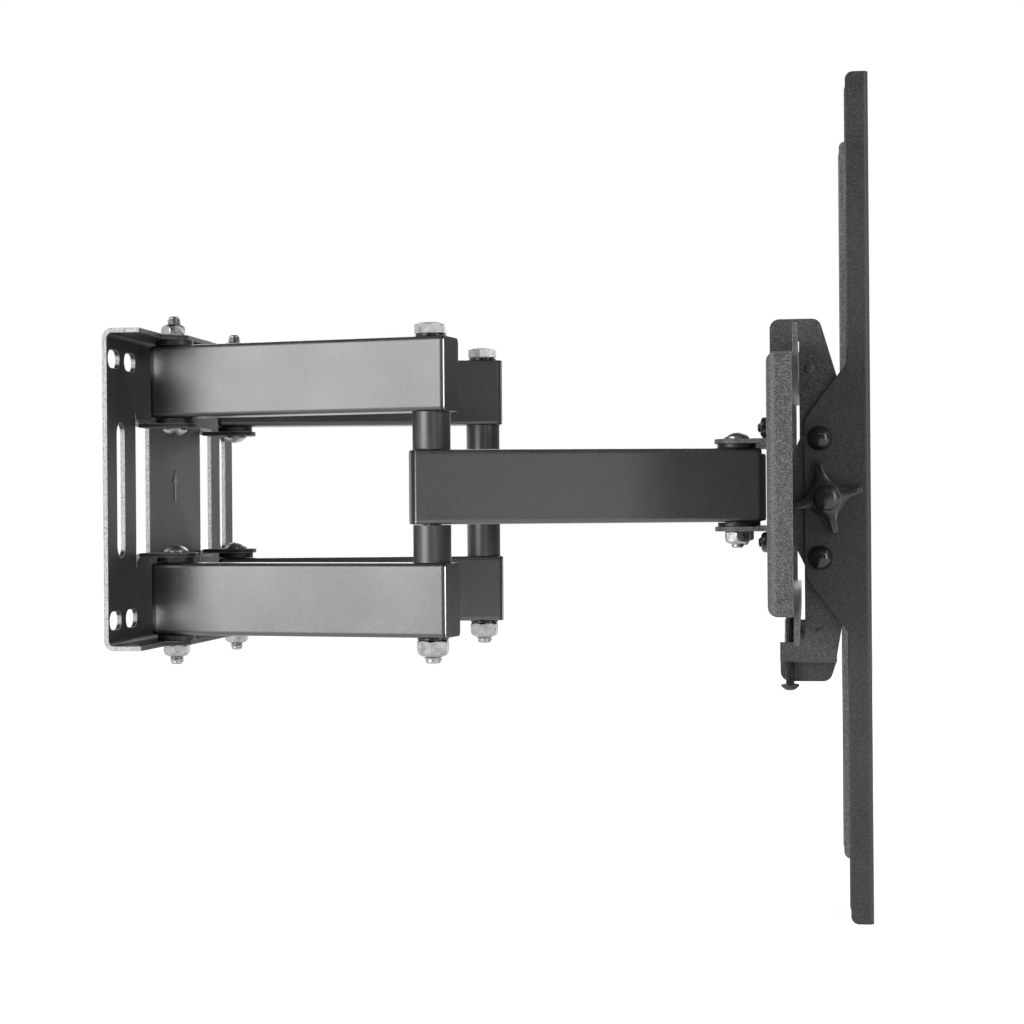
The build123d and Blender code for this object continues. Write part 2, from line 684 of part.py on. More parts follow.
# Upright: a channel with rounded flange ends, and an ear on its outer flange
ear_edge = tilt_x - ear_back
ear_root = upright_back + upright_corner
with BuildPart() as upright:
    with BuildSketch(level(0, 0, upright_bottom)) as channel:
        with BuildLine():
            Polyline(
                (upright_back, -upright_outer), (upright_front, -upright_outer),
                (upright_front, -upright_inner), (upright_back, -upright_inner),
                (upright_back, -upright_inner - upright_sheet),
                (upright_front - upright_sheet, -upright_inner - upright_sheet),
                (upright_front - upright_sheet, upright_sheet - upright_outer),
                (upright_back, upright_sheet - upright_outer), close=True,
            )
        make_face()
        fillet(channel.vertices().filter_by(lambda v: abs(v.X - upright_front) < 0.01),
               upright_bend + upright_sheet)
        fillet(channel.vertices().filter_by(lambda v: abs(v.X - upright_front + upright_sheet) < 0.01
               and abs(v.Y + bracket_half) > upright_width / 3), upright_bend)
    extrude(amount=upright_height)
    fillet(upright.edges().filter_by(Axis.Y).group_by(Axis.X)[0], upright_corner)
    with BuildSketch(upright_plane(-upright_outer)) as ear:
        with BuildLine():
            Polyline(
                (ear_root, ear_shoulder - tilt_drop), (upright_back, ear_shoulder - tilt_drop),
                (ear_edge, ear_half - tilt_drop), (ear_edge, -ear_half - tilt_drop),
                (upright_back, -ear_shoulder - tilt_drop), (ear_root, -ear_shoulder - tilt_drop),
                close=True,
            )
        make_face()
        fillet(ear.vertices().filter_by(lambda v: abs(v.X - ear_edge) < 0.01), ear_round)
    extrude(amount=-upright_sheet)
    ear_roots = upright.edges().filter_by(Axis.Y).filter_by(
        lambda e: abs(e.center().X - upright_back) < 0.01
        and abs(abs(e.center().Z + tilt_drop) - ear_shoulder) < 0.01)
    fillet(ear_roots, ear_root_round)
    with BuildSketch(upright_plane(-upright_outer)):
        with Locations(tilt_place):
            Circle(tilt_bolt / 2 + running)
        with Locations(*guide_places):
            Circle(guide_bolt / 2 + hole_room)
    extrude(amount=-upright_sheet, mode=Mode.SUBTRACT)
    with BuildSketch(Plane.YZ.offset(upright_front)):
        for up in (-1, 1):
            with Locations((-bracket_half, up * vesa_tall / 2 - tilt_drop)):
                Circle(vesa_hole / 2)
            for place in vesa_slot_places:
                with Locations((-bracket_half, up * place - tilt_drop)):
                    SlotOverall(vesa_slot_length, vesa_slot_width, rotation=90)
    extrude(amount=-upright_sheet, mode=Mode.SUBTRACT)
write_pair(upright.part, "upright")

guide_nut_seat = hook_inner - moving_gap
with BuildPart() as guide_bolts:
    for x, z in guide_places:
        rod(upright_plane(-upright_outer, x, z, -1), guide_bolt,
            upright_outer - guide_nut_seat + guide_nut_height)
        dome(upright_plane(-upright_outer, x, z), guide_head, guide_head_height)
write_pair(guide_bolts.part, "guide_bolts")

with BuildPart() as guide_nuts:
    for x, z in guide_places:
        hexagon(upright_plane(-guide_nut_seat, x, z, -1), guide_nut_flats, guide_bolt + 2 * running,
                guide_nut_height)
write_pair(guide_nuts.part, "guide_nuts")

# Star knob on the tilt bolt
knob_seat = upright_outer + moving_gap
knob_base = knob_seat + knob_boss_height
knob_step = 360 / knob_points
tip_root = knob_across / 2 - knob_tip / 2
tip_spread = degrees(asin(knob_tip / 2 / tip_root))


def around(radius, angle):
    """Point of the knob's outline, from its radius and its angle in degrees."""
    return (radius * cos(radians(angle)), radius * sin(radians(angle)))


with BuildPart() as knob:
    with BuildSketch(upright_plane(-knob_base, tilt_x, -tilt_drop)):
        with BuildLine():
            for point in range(knob_points):
                lead = knob_turn + point * knob_step
                ThreePointArc(around(tip_root, lead - tip_spread), around(knob_across / 2, lead),
                              around(tip_root, lead + tip_spread))
                ThreePointArc(around(tip_root, lead + tip_spread),
                              around(knob_waist / 2, lead + knob_step / 2),
                              around(tip_root, lead + knob_step - tip_spread))
        make_face()
    extrude(amount=knob_thick, taper=knob_draft)
    dome(upright_plane(-knob_base - knob_thick, tilt_x, -tilt_drop), knob_hub, knob_hub_height)
    rod(upright_plane(-knob_seat, tilt_x, -tilt_drop), knob_boss, knob_boss_height)
    with BuildSketch(upright_plane(-upright_outer, tilt_x, -tilt_drop)):
        Circle(tilt_bolt / 2 + running)
    extrude(amount=tilt_bolt_out + moving_gap, mode=Mode.SUBTRACT)
write_pair(knob.part, "knob")
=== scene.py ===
import json
from math import acos, atan2, cos, pi, radians, sin, tau

import bmesh
import bpy
from mathutils import Matrix, Vector


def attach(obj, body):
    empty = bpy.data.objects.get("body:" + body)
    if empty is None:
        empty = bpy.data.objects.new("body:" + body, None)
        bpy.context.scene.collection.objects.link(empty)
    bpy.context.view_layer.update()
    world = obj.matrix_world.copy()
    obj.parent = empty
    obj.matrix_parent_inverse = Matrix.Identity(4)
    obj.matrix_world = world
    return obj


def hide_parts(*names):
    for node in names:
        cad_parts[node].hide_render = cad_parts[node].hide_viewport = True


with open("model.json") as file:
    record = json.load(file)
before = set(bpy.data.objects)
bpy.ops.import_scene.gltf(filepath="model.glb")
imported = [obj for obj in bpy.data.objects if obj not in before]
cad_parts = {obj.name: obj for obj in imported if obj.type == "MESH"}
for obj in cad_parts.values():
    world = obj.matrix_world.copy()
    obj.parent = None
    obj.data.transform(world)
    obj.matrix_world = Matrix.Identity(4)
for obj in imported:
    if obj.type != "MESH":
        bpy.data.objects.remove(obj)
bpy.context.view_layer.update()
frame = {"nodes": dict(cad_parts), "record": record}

nodes = frame["nodes"]
scene = bpy.context.scene
scene.view_settings.view_transform = "Standard"
print("frame loaded:", len(nodes), "nodes")

# camera, fitted to the photograph
cameraView = {
    "place": (0.3717, -1.1727, -0.0144),
    "heading": 8.18,   # degrees to the left of +Y
    "pitch": 0.04,
    "roll": -0.45,
    "lens": 72.14,     # mm on a 36 mm sensor
}


def setCamera(view):
    data = bpy.data.cameras.new("camera")
    data.lens = view["lens"]
    data.sensor_width = 36.0
    data.clip_start = 0.01
    camera = bpy.data.objects.new("camera", data)
    scene.collection.objects.link(camera)
    turn = Matrix.Rotation(radians(view["heading"]), 4, "Z")
    tip = Matrix.Rotation(radians(90 + view["pitch"]), 4, "X")
    roll = Matrix.Rotation(radians(view["roll"]), 4, "Z")
    camera.matrix_world = Matrix.Translation(view["place"]) @ turn @ tip @ roll
    scene.camera = camera


setCamera(cameraView)
print("camera set")

# studio: white world, pale floor, soft boxes
studio = {
    "floorLevel": -0.262,
    "floorSize": 40.0,
    "floorColour": (0.86, 0.86, 0.86, 1),
    "liftFrom": (0.5, 3.0),   # metres from the mount: the far floor is lifted to white, the shadow stays
    "liftTo": (0.2, 0.72),
    "worldFill": 0.42,        # what matt surfaces get from the world
}
softBoxes = {
    "key": {"place": (-0.95, -1.62, 0.10), "aim": (0.12, -0.09, 0.0), "size": (1.05, 1.5), "power": 28, "gloss": True},
    "top": {"place": (0.25, -0.35, 1.55), "aim": (0.2, 0.0, 0.0), "size": (1.6, 1.2), "power": 20, "gloss": False},
    "right": {"place": (1.75, -0.9, 0.35), "aim": (0.3, 0.0, 0.0), "size": (0.5, 1.2), "power": 11, "gloss": True},
    "front": {"place": (1.05, -1.9, 0.0), "aim": (0.3, 0.0, 0.0), "size": (0.35, 0.9), "power": 1.7, "gloss": True},
    "back": {"place": (0.0, 1.6, 0.7), "aim": (0.2, 0.0, 0.0), "size": (1.6, 1.0), "power": 14, "gloss": True},
}


def whiteWorld(fill):
    world = bpy.data.worlds.new("studioWorld")
    scene.world = world
    world.use_nodes = True
    tree = world.node_tree
    tree.nodes.clear()
    out = tree.nodes.new("ShaderNodeOutputWorld")
    shown = tree.nodes.new("ShaderNodeBackground")
    shown.inputs["Color"].default_value = (1, 1, 1, 1)
    lit = tree.nodes.new("ShaderNodeBackground")
    lit.inputs["Color"].default_value = (1, 1, 1, 1)
    lit.inputs["Strength"].default_value = fill
    path = tree.nodes.new("ShaderNodeLightPath")
    either = tree.nodes.new("ShaderNodeMath")
    either.operation = "MAXIMUM"
    direct = tree.nodes.new("ShaderNodeMath")
    direct.operation = "MAXIMUM"
    mix = tree.nodes.new("ShaderNodeMixShader")
    tree.links.new(path.outputs["Is Camera Ray"], either.inputs[0])
    tree.links.new(path.outputs["Is Glossy Ray"], either.inputs[1])
    tree.links.new(either.outputs[0], direct.inputs[0])
    tree.links.new(path.outputs["Is Transmission Ray"], direct.inputs[1])
    tree.links.new(direct.outputs[0], mix.inputs["Fac"])
    tree.links.new(lit.outputs[0], mix.inputs[1])
    tree.links.new(shown.outputs[0], mix.inputs[2])
    tree.links.new(mix.outputs[0], out.inputs["Surface"])


def softBox(name, box):
    lamp = bpy.data.lights.new(name, "AREA")
    lamp.shape = "RECTANGLE"
    lamp.size, lamp.size_y = box["size"]
    lamp.energy = box["power"]
    obj = bpy.data.objects.new(name, lamp)
    scene.collection.objects.link(obj)
    way = Vector(box["aim"]) - Vector(box["place"])
    turn = way.to_track_quat("-Z", "Y").to_matrix().to_4x4()
    obj.matrix_world = Matrix.Translation(box["place"]) @ turn
    obj.visible_glossy = box["gloss"]


def facing(place, way):
    return Matrix.Translation(place) @ Vector(way).to_track_quat("Z", "Y").to_matrix().to_4x4()


darkCards = {   # black flags that only gloss sees
    "frontCard": {"place": (0.3, -2.6, 0.1), "aim": (0.3, 0.0, 0.1), "size": (5.6, 3.6), "level": 0.07},
    "topCard": {"place": (0.3, -0.2, 1.9), "aim": (0.3, -0.2, 0.0), "size": (3.6, 3.2), "level": 0.10},
    "rightCard": {"place": (2.7, -1.1, 0.1), "aim": (0.3, 0.0, 0.1), "size": (3.0, 3.4), "level": 0.08},
    "backCard": {"place": (1.6, 2.3, 0.2), "aim": (0.1, 0.0, 0.0), "size": (1.7, 2.2), "level": 0.22},
}


def darkCard(name, card):
    bm = bmesh.new()
    bmesh.ops.create_grid(bm, x_segments=1, y_segments=1, size=0.5)
    bmesh.ops.scale(bm, vec=(*card["size"], 1), verts=bm.verts)
    way = Vector(card["aim"]) - Vector(card["place"])
    bmesh.ops.transform(bm, matrix=facing(card["place"], way), verts=bm.verts)
    mesh = bpy.data.meshes.new(name)
    bm.to_mesh(mesh)
    bm.free()
    obj = bpy.data.objects.new(name, mesh)
    scene.collection.objects.link(obj)
    obj.visible_camera = False
    obj.visible_shadow = False
    obj.visible_diffuse = False
    mat = bpy.data.materials.new(name)
    mat.use_nodes = True
    tree = mat.node_tree
    tree.nodes.clear()
    out = tree.nodes.new("ShaderNodeOutputMaterial")
    glow = tree.nodes.new("ShaderNodeEmission")
    glow.inputs["Strength"].default_value = card["level"]
    tree.links.new(glow.outputs[0], out.inputs["Surface"])
    mesh.materials.append(mat)


def paleFloor(dims):
    bm = bmesh.new()
    bmesh.ops.create_grid(bm, x_segments=1, y_segments=1, size=dims["floorSize"] / 2)
    bmesh.ops.translate(bm, vec=(0, 0, dims["floorLevel"]), verts=bm.verts)
    mesh = bpy.data.meshes.new("floor")
    bm.to_mesh(mesh)
    bm.free()
    floor = bpy.data.objects.new("floor", mesh)
    scene.collection.objects.link(floor)
    mat = bpy.data.materials.new("paleFloor")
    mat.use_nodes = True
    tree = mat.node_tree
    tree.nodes.clear()
    out = tree.nodes.new("ShaderNodeOutputMaterial")
    matt = tree.nodes.new("ShaderNodeBsdfDiffuse")
    matt.inputs["Color"].default_value = dims["floorColour"]
    glow = tree.nodes.new("ShaderNodeEmission")
    path = tree.nodes.new("ShaderNodeLightPath")
    shown = tree.nodes.new("ShaderNodeMath")
    shown.operation = "MAXIMUM"
    level = tree.nodes.new("ShaderNodeMath")
    level.operation = "MULTIPLY"
    place = tree.nodes.new("ShaderNodeTexCoord")
    away = tree.nodes.new("ShaderNodeVectorMath")
    away.operation = "LENGTH"
    tree.links.new(place.outputs["Object"], away.inputs[0])
    lift = tree.nodes.new("ShaderNodeMapRange")
    lift.inputs["From Min"].default_value, lift.inputs["From Max"].default_value = dims["liftFrom"]
    lift.inputs["To Min"].default_value, lift.inputs["To Max"].default_value = dims["liftTo"]
    tree.links.new(away.outputs["Value"], lift.inputs["Value"])
    tree.links.new(lift.outputs[0], level.inputs[1])
    both = tree.nodes.new("ShaderNodeAddShader")
    tree.links.new(path.outputs["Is Camera Ray"], shown.inputs[0])
    tree.links.new(path.outputs["Is Glossy Ray"], shown.inputs[1])
    tree.links.new(shown.outputs[0], level.inputs[0])
    tree.links.new(level.outputs[0], glow.inputs["Strength"])
    tree.links.new(matt.outputs[0], both.inputs[0])
    tree.links.new(glow.outputs[0], both.inputs[1])
    tree.links.new(both.outputs[0], out.inputs["Surface"])
    mesh.materials.append(mat)


whiteWorld(studio["worldFill"])
for boxName, box in softBoxes.items():
    softBox(boxName, box)
paleFloor(studio)
for cardName, card in darkCards.items():
    darkCard(cardName, card)
print("studio lit")


# shared shader groups
def newGroup(name, ins, outs):
    group = bpy.data.node_groups.new(name, "ShaderNodeTree")
    for label, kind, value in ins:
        socket = group.interface.new_socket(label, in_out="INPUT", socket_type=kind)
        socket.default_value = value
    for label, kind in outs:
        group.interface.new_socket(label, in_out="OUTPUT", socket_type=kind)
    return group, group.nodes.new("NodeGroupInput"), group.nodes.new("NodeGroupOutput")


def mathNode(tree, operation, first, second=None, clamp=False):
    node = tree.nodes.new("ShaderNodeMath")
    node.operation = operation
    node.use_clamp = clamp
    for index, value in enumerate((first, second)):
        if value is None:
            continue
        if isinstance(value, (int, float)):
            node.inputs[index].default_value = value
        else:
            tree.links.new(value, node.inputs[index])
    return node.outputs[0]


def rangeNode(tree, value, low, high):
    node = tree.nodes.new("ShaderNodeMapRange")
    node.interpolation_type = "SMOOTHSTEP"
    node.inputs["From Min"].default_value = low
    node.inputs["From Max"].default_value = high
    tree.links.new(value, node.inputs["Value"])
    return node.outputs["Result"]


grainForm = {
    "scales": (("Fine", 1400.0), ("Coarse", 380.0), ("Cloud", 14.0)),
    "coarseDetail": 3.0,
    "coarseRough": 0.65,
    "cloudDetail": 4.0,
    "lot": 1.6,                 # few bright grains, many dim ones
    "grainEdge": (0.15, 0.75),
    "cloudEdge": (0.32, 0.68),
    "grainHigh": 0.6,
    "coarseHigh": 0.8,
}


def makeCoatGrain(form):
    group, given, made = newGroup(
        "coatGrain", [(label, "NodeSocketFloat", scale) for label, scale in form["scales"]],
        [(label, "NodeSocketFloat") for label in ("Specks", "Clouds", "Height")])
    place = group.nodes.new("ShaderNodeTexCoord")
    fine = group.nodes.new("ShaderNodeTexVoronoi")
    fine.feature = "F1"
    coarse = group.nodes.new("ShaderNodeTexNoise")
    coarse.inputs["Detail"].default_value = form["coarseDetail"]
    coarse.inputs["Roughness"].default_value = form["coarseRough"]
    cloud = group.nodes.new("ShaderNodeTexNoise")
    cloud.inputs["Detail"].default_value = form["cloudDetail"]
    for node, label in ((fine, "Fine"), (coarse, "Coarse"), (cloud, "Cloud")):
        group.links.new(place.outputs["Object"], node.inputs["Vector"])
        group.links.new(given.outputs[label], node.inputs["Scale"])
    split = group.nodes.new("ShaderNodeSeparateColor")
    group.links.new(fine.outputs["Color"], split.inputs[0])
    lot = mathNode(group, "POWER", split.outputs[0], form["lot"])
    near = mathNode(group, "SUBTRACT", 1.0, rangeNode(group, fine.outputs["Distance"], *form["grainEdge"]))
    grains = mathNode(group, "MULTIPLY", lot, near)
    group.links.new(grains, made.inputs["Specks"])
    group.links.new(rangeNode(group, cloud.outputs["Fac"], *form["cloudEdge"]), made.inputs["Clouds"])
    coarseHigh = mathNode(group, "MULTIPLY", coarse.outputs["Fac"], form["coarseHigh"])
    grainHigh = mathNode(group, "MULTIPLY", grains, form["grainHigh"])
    group.links.new(mathNode(group, "ADD", grainHigh, coarseHigh), made.inputs["Height"])
    return group


edgeForm = {"radius": 0.0006, "samples": 6, "bend": (0.02, 0.22)}


def makeSoftEdges(form):
    group, given, made = newGroup("softEdges", [("Radius", "NodeSocketFloat", form["radius"])],
                                  [("Normal", "NodeSocketVector"), ("Edge", "NodeSocketFloat")])
    rounded = group.nodes.new("ShaderNodeBevel")
    rounded.samples = form["samples"]
    group.links.new(given.outputs["Radius"], rounded.inputs["Radius"])
    flat = group.nodes.new("ShaderNodeNewGeometry")
    dot = group.nodes.new("ShaderNodeVectorMath")
    dot.operation = "DOT_PRODUCT"
    group.links.new(rounded.outputs[0], dot.inputs[0])
    group.links.new(flat.outputs["True Normal"], dot.inputs[1])
    away = mathNode(group, "SUBTRACT", 1.0, dot.outputs["Value"], True)
    group.links.new(rangeNode(group, away, *form["bend"]), made.inputs["Edge"])
    group.links.new(rounded.outputs[0], made.inputs["Normal"])
    return group


coatGrain = makeCoatGrain(grainForm)
softEdges = makeSoftEdges(edgeForm)


def placeGroup(tree, group, **values):
    node = tree.nodes.new("ShaderNodeGroup")
    node.node_tree = group
    for label, value in values.items():
        node.inputs[label].default_value = value
    return node


def mixColour(tree, fac, first, second):
    node = tree.nodes.new("ShaderNodeMix")
    node.data_type = "RGBA"
    tree.links.new(fac, node.inputs["Factor"])
    for socket, value in ((node.inputs[6], first), (node.inputs[7], second)):
        if isinstance(value, tuple):
            socket.default_value = (*value, 1)
        else:
            tree.links.new(value, socket)
    return node.outputs[2]


# sheet ends and slot walls, cut square to the plate's length, are nearly bare, and their light grey is partly a
# painted rim highlight; tabs are coated
def cutFaces(tree, look):
    spot = tree.nodes.new("ShaderNodeTexCoord")
    faceWay = tree.nodes.new("ShaderNodeSeparateXYZ")
    at = tree.nodes.new("ShaderNodeSeparateXYZ")
    tree.links.new(spot.outputs["Normal"], faceWay.inputs[0])
    tree.links.new(spot.outputs["Object"], at.inputs[0])
    square = rangeNode(tree, mathNode(tree, "ABSOLUTE", faceWay.outputs["Y"]), *look["cutSquare"])
    inSheet = mathNode(tree, "LESS_THAN", at.outputs["X"], look["cutDepth"])
    atEnds = mathNode(tree, "GREATER_THAN", mathNode(tree, "ABSOLUTE", at.outputs["Y"]), look["cutEnds"])
    return mathNode(tree, "MULTIPLY", square, mathNode(tree, "MAXIMUM", inSheet, atEnds))


def coatedFinish(name, look):
    mat = bpy.data.materials.new(name)
    mat.use_nodes = True
    tree = mat.node_tree
    bsdf = tree.nodes["Principled BSDF"]
    grain = placeGroup(tree, coatGrain, Fine=look["fine"], Coarse=look["coarse"], Cloud=look["cloud"])
    edges = placeGroup(tree, softEdges, Radius=look["edge"])
    ground = mixColour(tree, grain.outputs["Clouds"], look["dark"], look["base"])
    # light specks: grain of the coat, partly painted glints that stand in for light caught by its bumps
    grainGlints = mathNode(tree, "MULTIPLY", grain.outputs["Specks"], look["grainGlintAmount"])
    coloured = mixColour(tree, grainGlints, ground, look["grainGlintColour"])
    # edges lightened: a little wear, mostly a painted highlight along the edges, strongest on the wall plate and front
    # plate
    edgeWearAndHighlight = mathNode(tree, "MULTIPLY", edges.outputs["Edge"], look["edgeAmount"])
    coloured = mixColour(tree, edgeWearAndHighlight, coloured, look["edgeColour"])
    # light cut faces: bare metal with a painted rim highlight
    if "cutBareAndLitColour" in look:
        dots = rangeNode(tree, grain.outputs["Specks"], *look["cutDotEdge"])
        bareAndLit = mixColour(tree, dots, look["cutBareAndLitColour"], look["cutDots"])
        coloured = mixColour(tree, cutFaces(tree, look), coloured, bareAndLit)
    tree.links.new(coloured, bsdf.inputs["Base Color"])
    rough = mathNode(tree, "MULTIPLY", grain.outputs["Clouds"], look["roughSpread"])
    tree.links.new(mathNode(tree, "ADD", rough, look["rough"]), bsdf.inputs["Roughness"])
    bump = tree.nodes.new("ShaderNodeBump")
    bump.inputs["Strength"].default_value = look["bump"]
    bump.inputs["Distance"].default_value = look["bumpDepth"]
    tree.links.new(grain.outputs["Height"], bump.inputs["Height"])
    tree.links.new(edges.outputs["Normal"], bump.inputs["Normal"])
    tree.links.new(bump.outputs[0], bsdf.inputs["Normal"])
    bsdf.inputs["Specular IOR Level"].default_value = look["specular"]
    bsdf.inputs["IOR"].default_value = look.get("ior", 1.5)
    bsdf.inputs["Metallic"].default_value = look.get("metal", 0.0)
    return mat


tubeLook = {
    "base": (0.019, 0.019, 0.0195), "dark": (0.014, 0.014, 0.0145), "grainGlintColour": (0.075, 0.075, 0.076),
    "grainGlintAmount": 0.4, "edgeColour": (0.03, 0.03, 0.03), "edgeAmount": 0.3, "fine": 1300.0, "coarse": 420.0,
    "cloud": 18.0, "rough": 0.28, "roughSpread": 0.06, "bump": 0.15, "bumpDepth": 0.0003, "edge": 0.0009,
    "specular": 0.9, "ior": 1.6,
}
plateLook = {
    "base": (0.044, 0.044, 0.045), "dark": (0.026, 0.026, 0.0265), "grainGlintColour": (0.30, 0.30, 0.30),
    "grainGlintAmount": 0.9, "edgeColour": (0.26, 0.26, 0.26), "edgeAmount": 0.7, "fine": 2300.0, "coarse": 1100.0,
    "cloud": 20.0, "rough": 0.38, "roughSpread": 0.1, "bump": 0.5, "bumpDepth": 0.0004, "edge": 0.0007,
    "specular": 0.6,
}
# the hook plates take a darker copy of the plate coat: painted shade, where the front plate keeps the key light off
# them
hookShadedLook = {
    "base": (0.026, 0.026, 0.0265), "dark": (0.017, 0.017, 0.0175), "grainGlintColour": (0.18, 0.18, 0.18),
    "grainGlintAmount": 0.6, "edgeColour": (0.09, 0.09, 0.09), "edgeAmount": 0.4, "fine": 2000.0, "coarse": 900.0,
    "cloud": 20.0, "rough": 0.36, "roughSpread": 0.1, "bump": 0.5, "bumpDepth": 0.0004, "edge": 0.0007,
    "specular": 0.5,
}
wallLook = {
    "base": (0.017, 0.017, 0.0175), "dark": (0.012, 0.012, 0.0125), "grainGlintColour": (0.09, 0.09, 0.09),
    "grainGlintAmount": 0.4, "edgeColour": (0.50, 0.50, 0.50), "edgeAmount": 0.75, "fine": 1600.0, "coarse": 700.0,
    "cloud": 20.0, "rough": 0.42, "roughSpread": 0.08, "bump": 0.2, "bumpDepth": 0.0004, "edge": 0.0007,
    "specular": 0.35, "cutBareAndLitColour": (0.46, 0.46, 0.455), "cutDots": (0.2, 0.2, 0.2), "cutDotEdge": (0.12, 0.35),
    "cutSquare": (0.80, 0.97), "cutDepth": 0.004, "cutEnds": 0.117,
}
# the near uprights take a darker copy of the plate coat: painted shade
uprightShadedLook = {
    "base": (0.022, 0.022, 0.0225), "dark": (0.014, 0.014, 0.0145), "grainGlintColour": (0.10, 0.10, 0.101),
    "grainGlintAmount": 0.6, "edgeColour": (0.09, 0.09, 0.09), "edgeAmount": 0.4, "fine": 1800.0, "coarse": 700.0,
    "cloud": 12.0, "rough": 0.36, "roughSpread": 0.1, "bump": 0.3, "bumpDepth": 0.0004, "edge": 0.0006,
    "specular": 0.45,
}
spacerLook = {
    "base": (0.030, 0.030, 0.031), "dark": (0.022, 0.022, 0.0225), "grainGlintColour": (0.10, 0.10, 0.10),
    "grainGlintAmount": 0.3, "edgeColour": (0.10, 0.10, 0.10), "edgeAmount": 0.4, "fine": 1400.0, "coarse": 500.0,
    "cloud": 40.0, "rough": 0.3, "roughSpread": 0.08, "bump": 0.1, "bumpDepth": 0.0003, "edge": 0.0005,
    "specular": 0.9,
}
capLook = {
    "base": (0.013, 0.013, 0.013), "dark": (0.009, 0.009, 0.009), "grainGlintColour": (0.03, 0.03, 0.03),
    "grainGlintAmount": 0.3, "edgeColour": (0.05, 0.05, 0.05), "edgeAmount": 0.5, "fine": 1600.0, "coarse": 700.0,
    "cloud": 30.0, "rough": 0.36, "roughSpread": 0.1, "bump": 0.12, "bumpDepth": 0.0002, "edge": 0.0006,
    "specular": 0.5,
}
knobLook = {
    "base": (0.012, 0.012, 0.012), "dark": (0.008, 0.008, 0.008), "grainGlintColour": (0.03, 0.03, 0.03),
    "grainGlintAmount": 0.2, "edgeColour": (0.04, 0.04, 0.04), "edgeAmount": 0.3, "fine": 1800.0, "coarse": 700.0,
    "cloud": 40.0, "rough": 0.22, "roughSpread": 0.1, "bump": 0.06, "bumpDepth": 0.0002, "edge": 0.0004,
    "specular": 0.6,
}
blackZincLook = {
    "base": (0.012, 0.012, 0.0125), "dark": (0.008, 0.008, 0.0085), "grainGlintColour": (0.03, 0.03, 0.03),
    "grainGlintAmount": 0.2, "edgeColour": (0.06, 0.06, 0.06), "edgeAmount": 0.4, "fine": 1500.0, "coarse": 500.0,
    "cloud": 60.0, "rough": 0.13, "roughSpread": 0.08, "bump": 0.05, "bumpDepth": 0.0002, "edge": 0.0004,
    "specular": 0.5,
}
zincLook = {
    "base": (0.43, 0.43, 0.43), "dark": (0.29, 0.29, 0.29), "grainGlintColour": (0.52, 0.52, 0.51), "grainGlintAmount": 0.5,
    "edgeColour": (0.60, 0.60, 0.59), "edgeAmount": 0.6, "fine": 1500.0, "coarse": 700.0, "cloud": 260.0,
    "rough": 0.24, "roughSpread": 0.16, "bump": 0.12, "bumpDepth": 0.0002, "edge": 0.0004, "specular": 0.5,
    "metal": 1.0,
}
nylonLook = {
    "base": (0.72, 0.71, 0.67), "dark": (0.66, 0.65, 0.61), "grainGlintColour": (0.78, 0.77, 0.73), "grainGlintAmount": 0.3,
    "edgeColour": (0.8, 0.79, 0.76), "edgeAmount": 0.3, "fine": 1200.0, "coarse": 500.0, "cloud": 60.0,
    "rough": 0.42, "roughSpread": 0.1, "bump": 0.08, "bumpDepth": 0.0002, "edge": 0.0004, "specular": 0.5,
}
markLook = {
    "base": (0.20, 0.20, 0.20), "dark": (0.14, 0.14, 0.14), "grainGlintColour": (0.34, 0.34, 0.34), "grainGlintAmount": 0.4,
    "edgeColour": (0.4, 0.4, 0.4), "edgeAmount": 0.4, "fine": 1400.0, "coarse": 500.0, "cloud": 200.0,
    "rough": 0.4, "roughSpread": 0.1, "bump": 0.1, "bumpDepth": 0.0002, "edge": 0.0002, "specular": 0.5,
}
rimLook = {
    "base": (0.50, 0.50, 0.50), "dark": (0.42, 0.42, 0.42), "grainGlintColour": (0.6, 0.6, 0.6), "grainGlintAmount": 0.3,
    "edgeColour": (0.55, 0.55, 0.55), "edgeAmount": 0.3, "fine": 1500.0, "coarse": 700.0, "cloud": 200.0,
    "rough": 0.3, "roughSpread": 0.1, "bump": 0.05, "bumpDepth": 0.0001, "edge": 0.00008, "specular": 0.5,
    "metal": 1.0,
}

tubePaint = coatedFinish("tubePaint", tubeLook)
plateCoat = coatedFinish("plateCoat", plateLook)
wallCoat = coatedFinish("wallCoat", wallLook)
uprightShadedCoat = coatedFinish("uprightShadedCoat", uprightShadedLook)
spacerPaint = coatedFinish("spacerPaint", spacerLook)
capPlastic = coatedFinish("capPlastic", capLook)
knobPlastic = coatedFinish("knobPlastic", knobLook)
hookShadedCoat = coatedFinish("hookShadedCoat", hookShadedLook)
blackZinc = coatedFinish("blackZinc", blackZincLook)
brightZinc = coatedFinish("brightZinc", zincLook)
whiteNylon = coatedFinish("whiteNylon", nylonLook)
markGrey = coatedFinish("markGrey", markLook)
rimMetal = coatedFinish("rimMetal", rimLook)
print("finishes made")

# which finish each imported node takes, by the words in its name
finishOf = [
    ("wall_plate", wallCoat), ("elbow_spacers", spacerPaint), ("_tube", tubePaint), ("_caps", capPlastic),
    ("washers", capPlastic), ("knob", knobPlastic), ("_bushes", whiteNylon), ("guide_bolts", blackZinc),
    ("bracket_screws", blackZinc), ("lock_screw", blackZinc), ("head_bracket", plateCoat),
    # the far upright takes the lighter plate coat as painted light; the near uprights and the hook plates take darker
    # copies as painted shade
    ("front_plate", plateCoat), ("hook_plate", hookShadedCoat), ("far_upright", plateCoat), ("upright", uprightShadedCoat),
]
for nodeName, obj in nodes.items():
    finish = next((mat for word, mat in finishOf if word in nodeName), brightZinc)
    for slot in obj.material_slots:
        slot.material = finish
print("nodes finished")

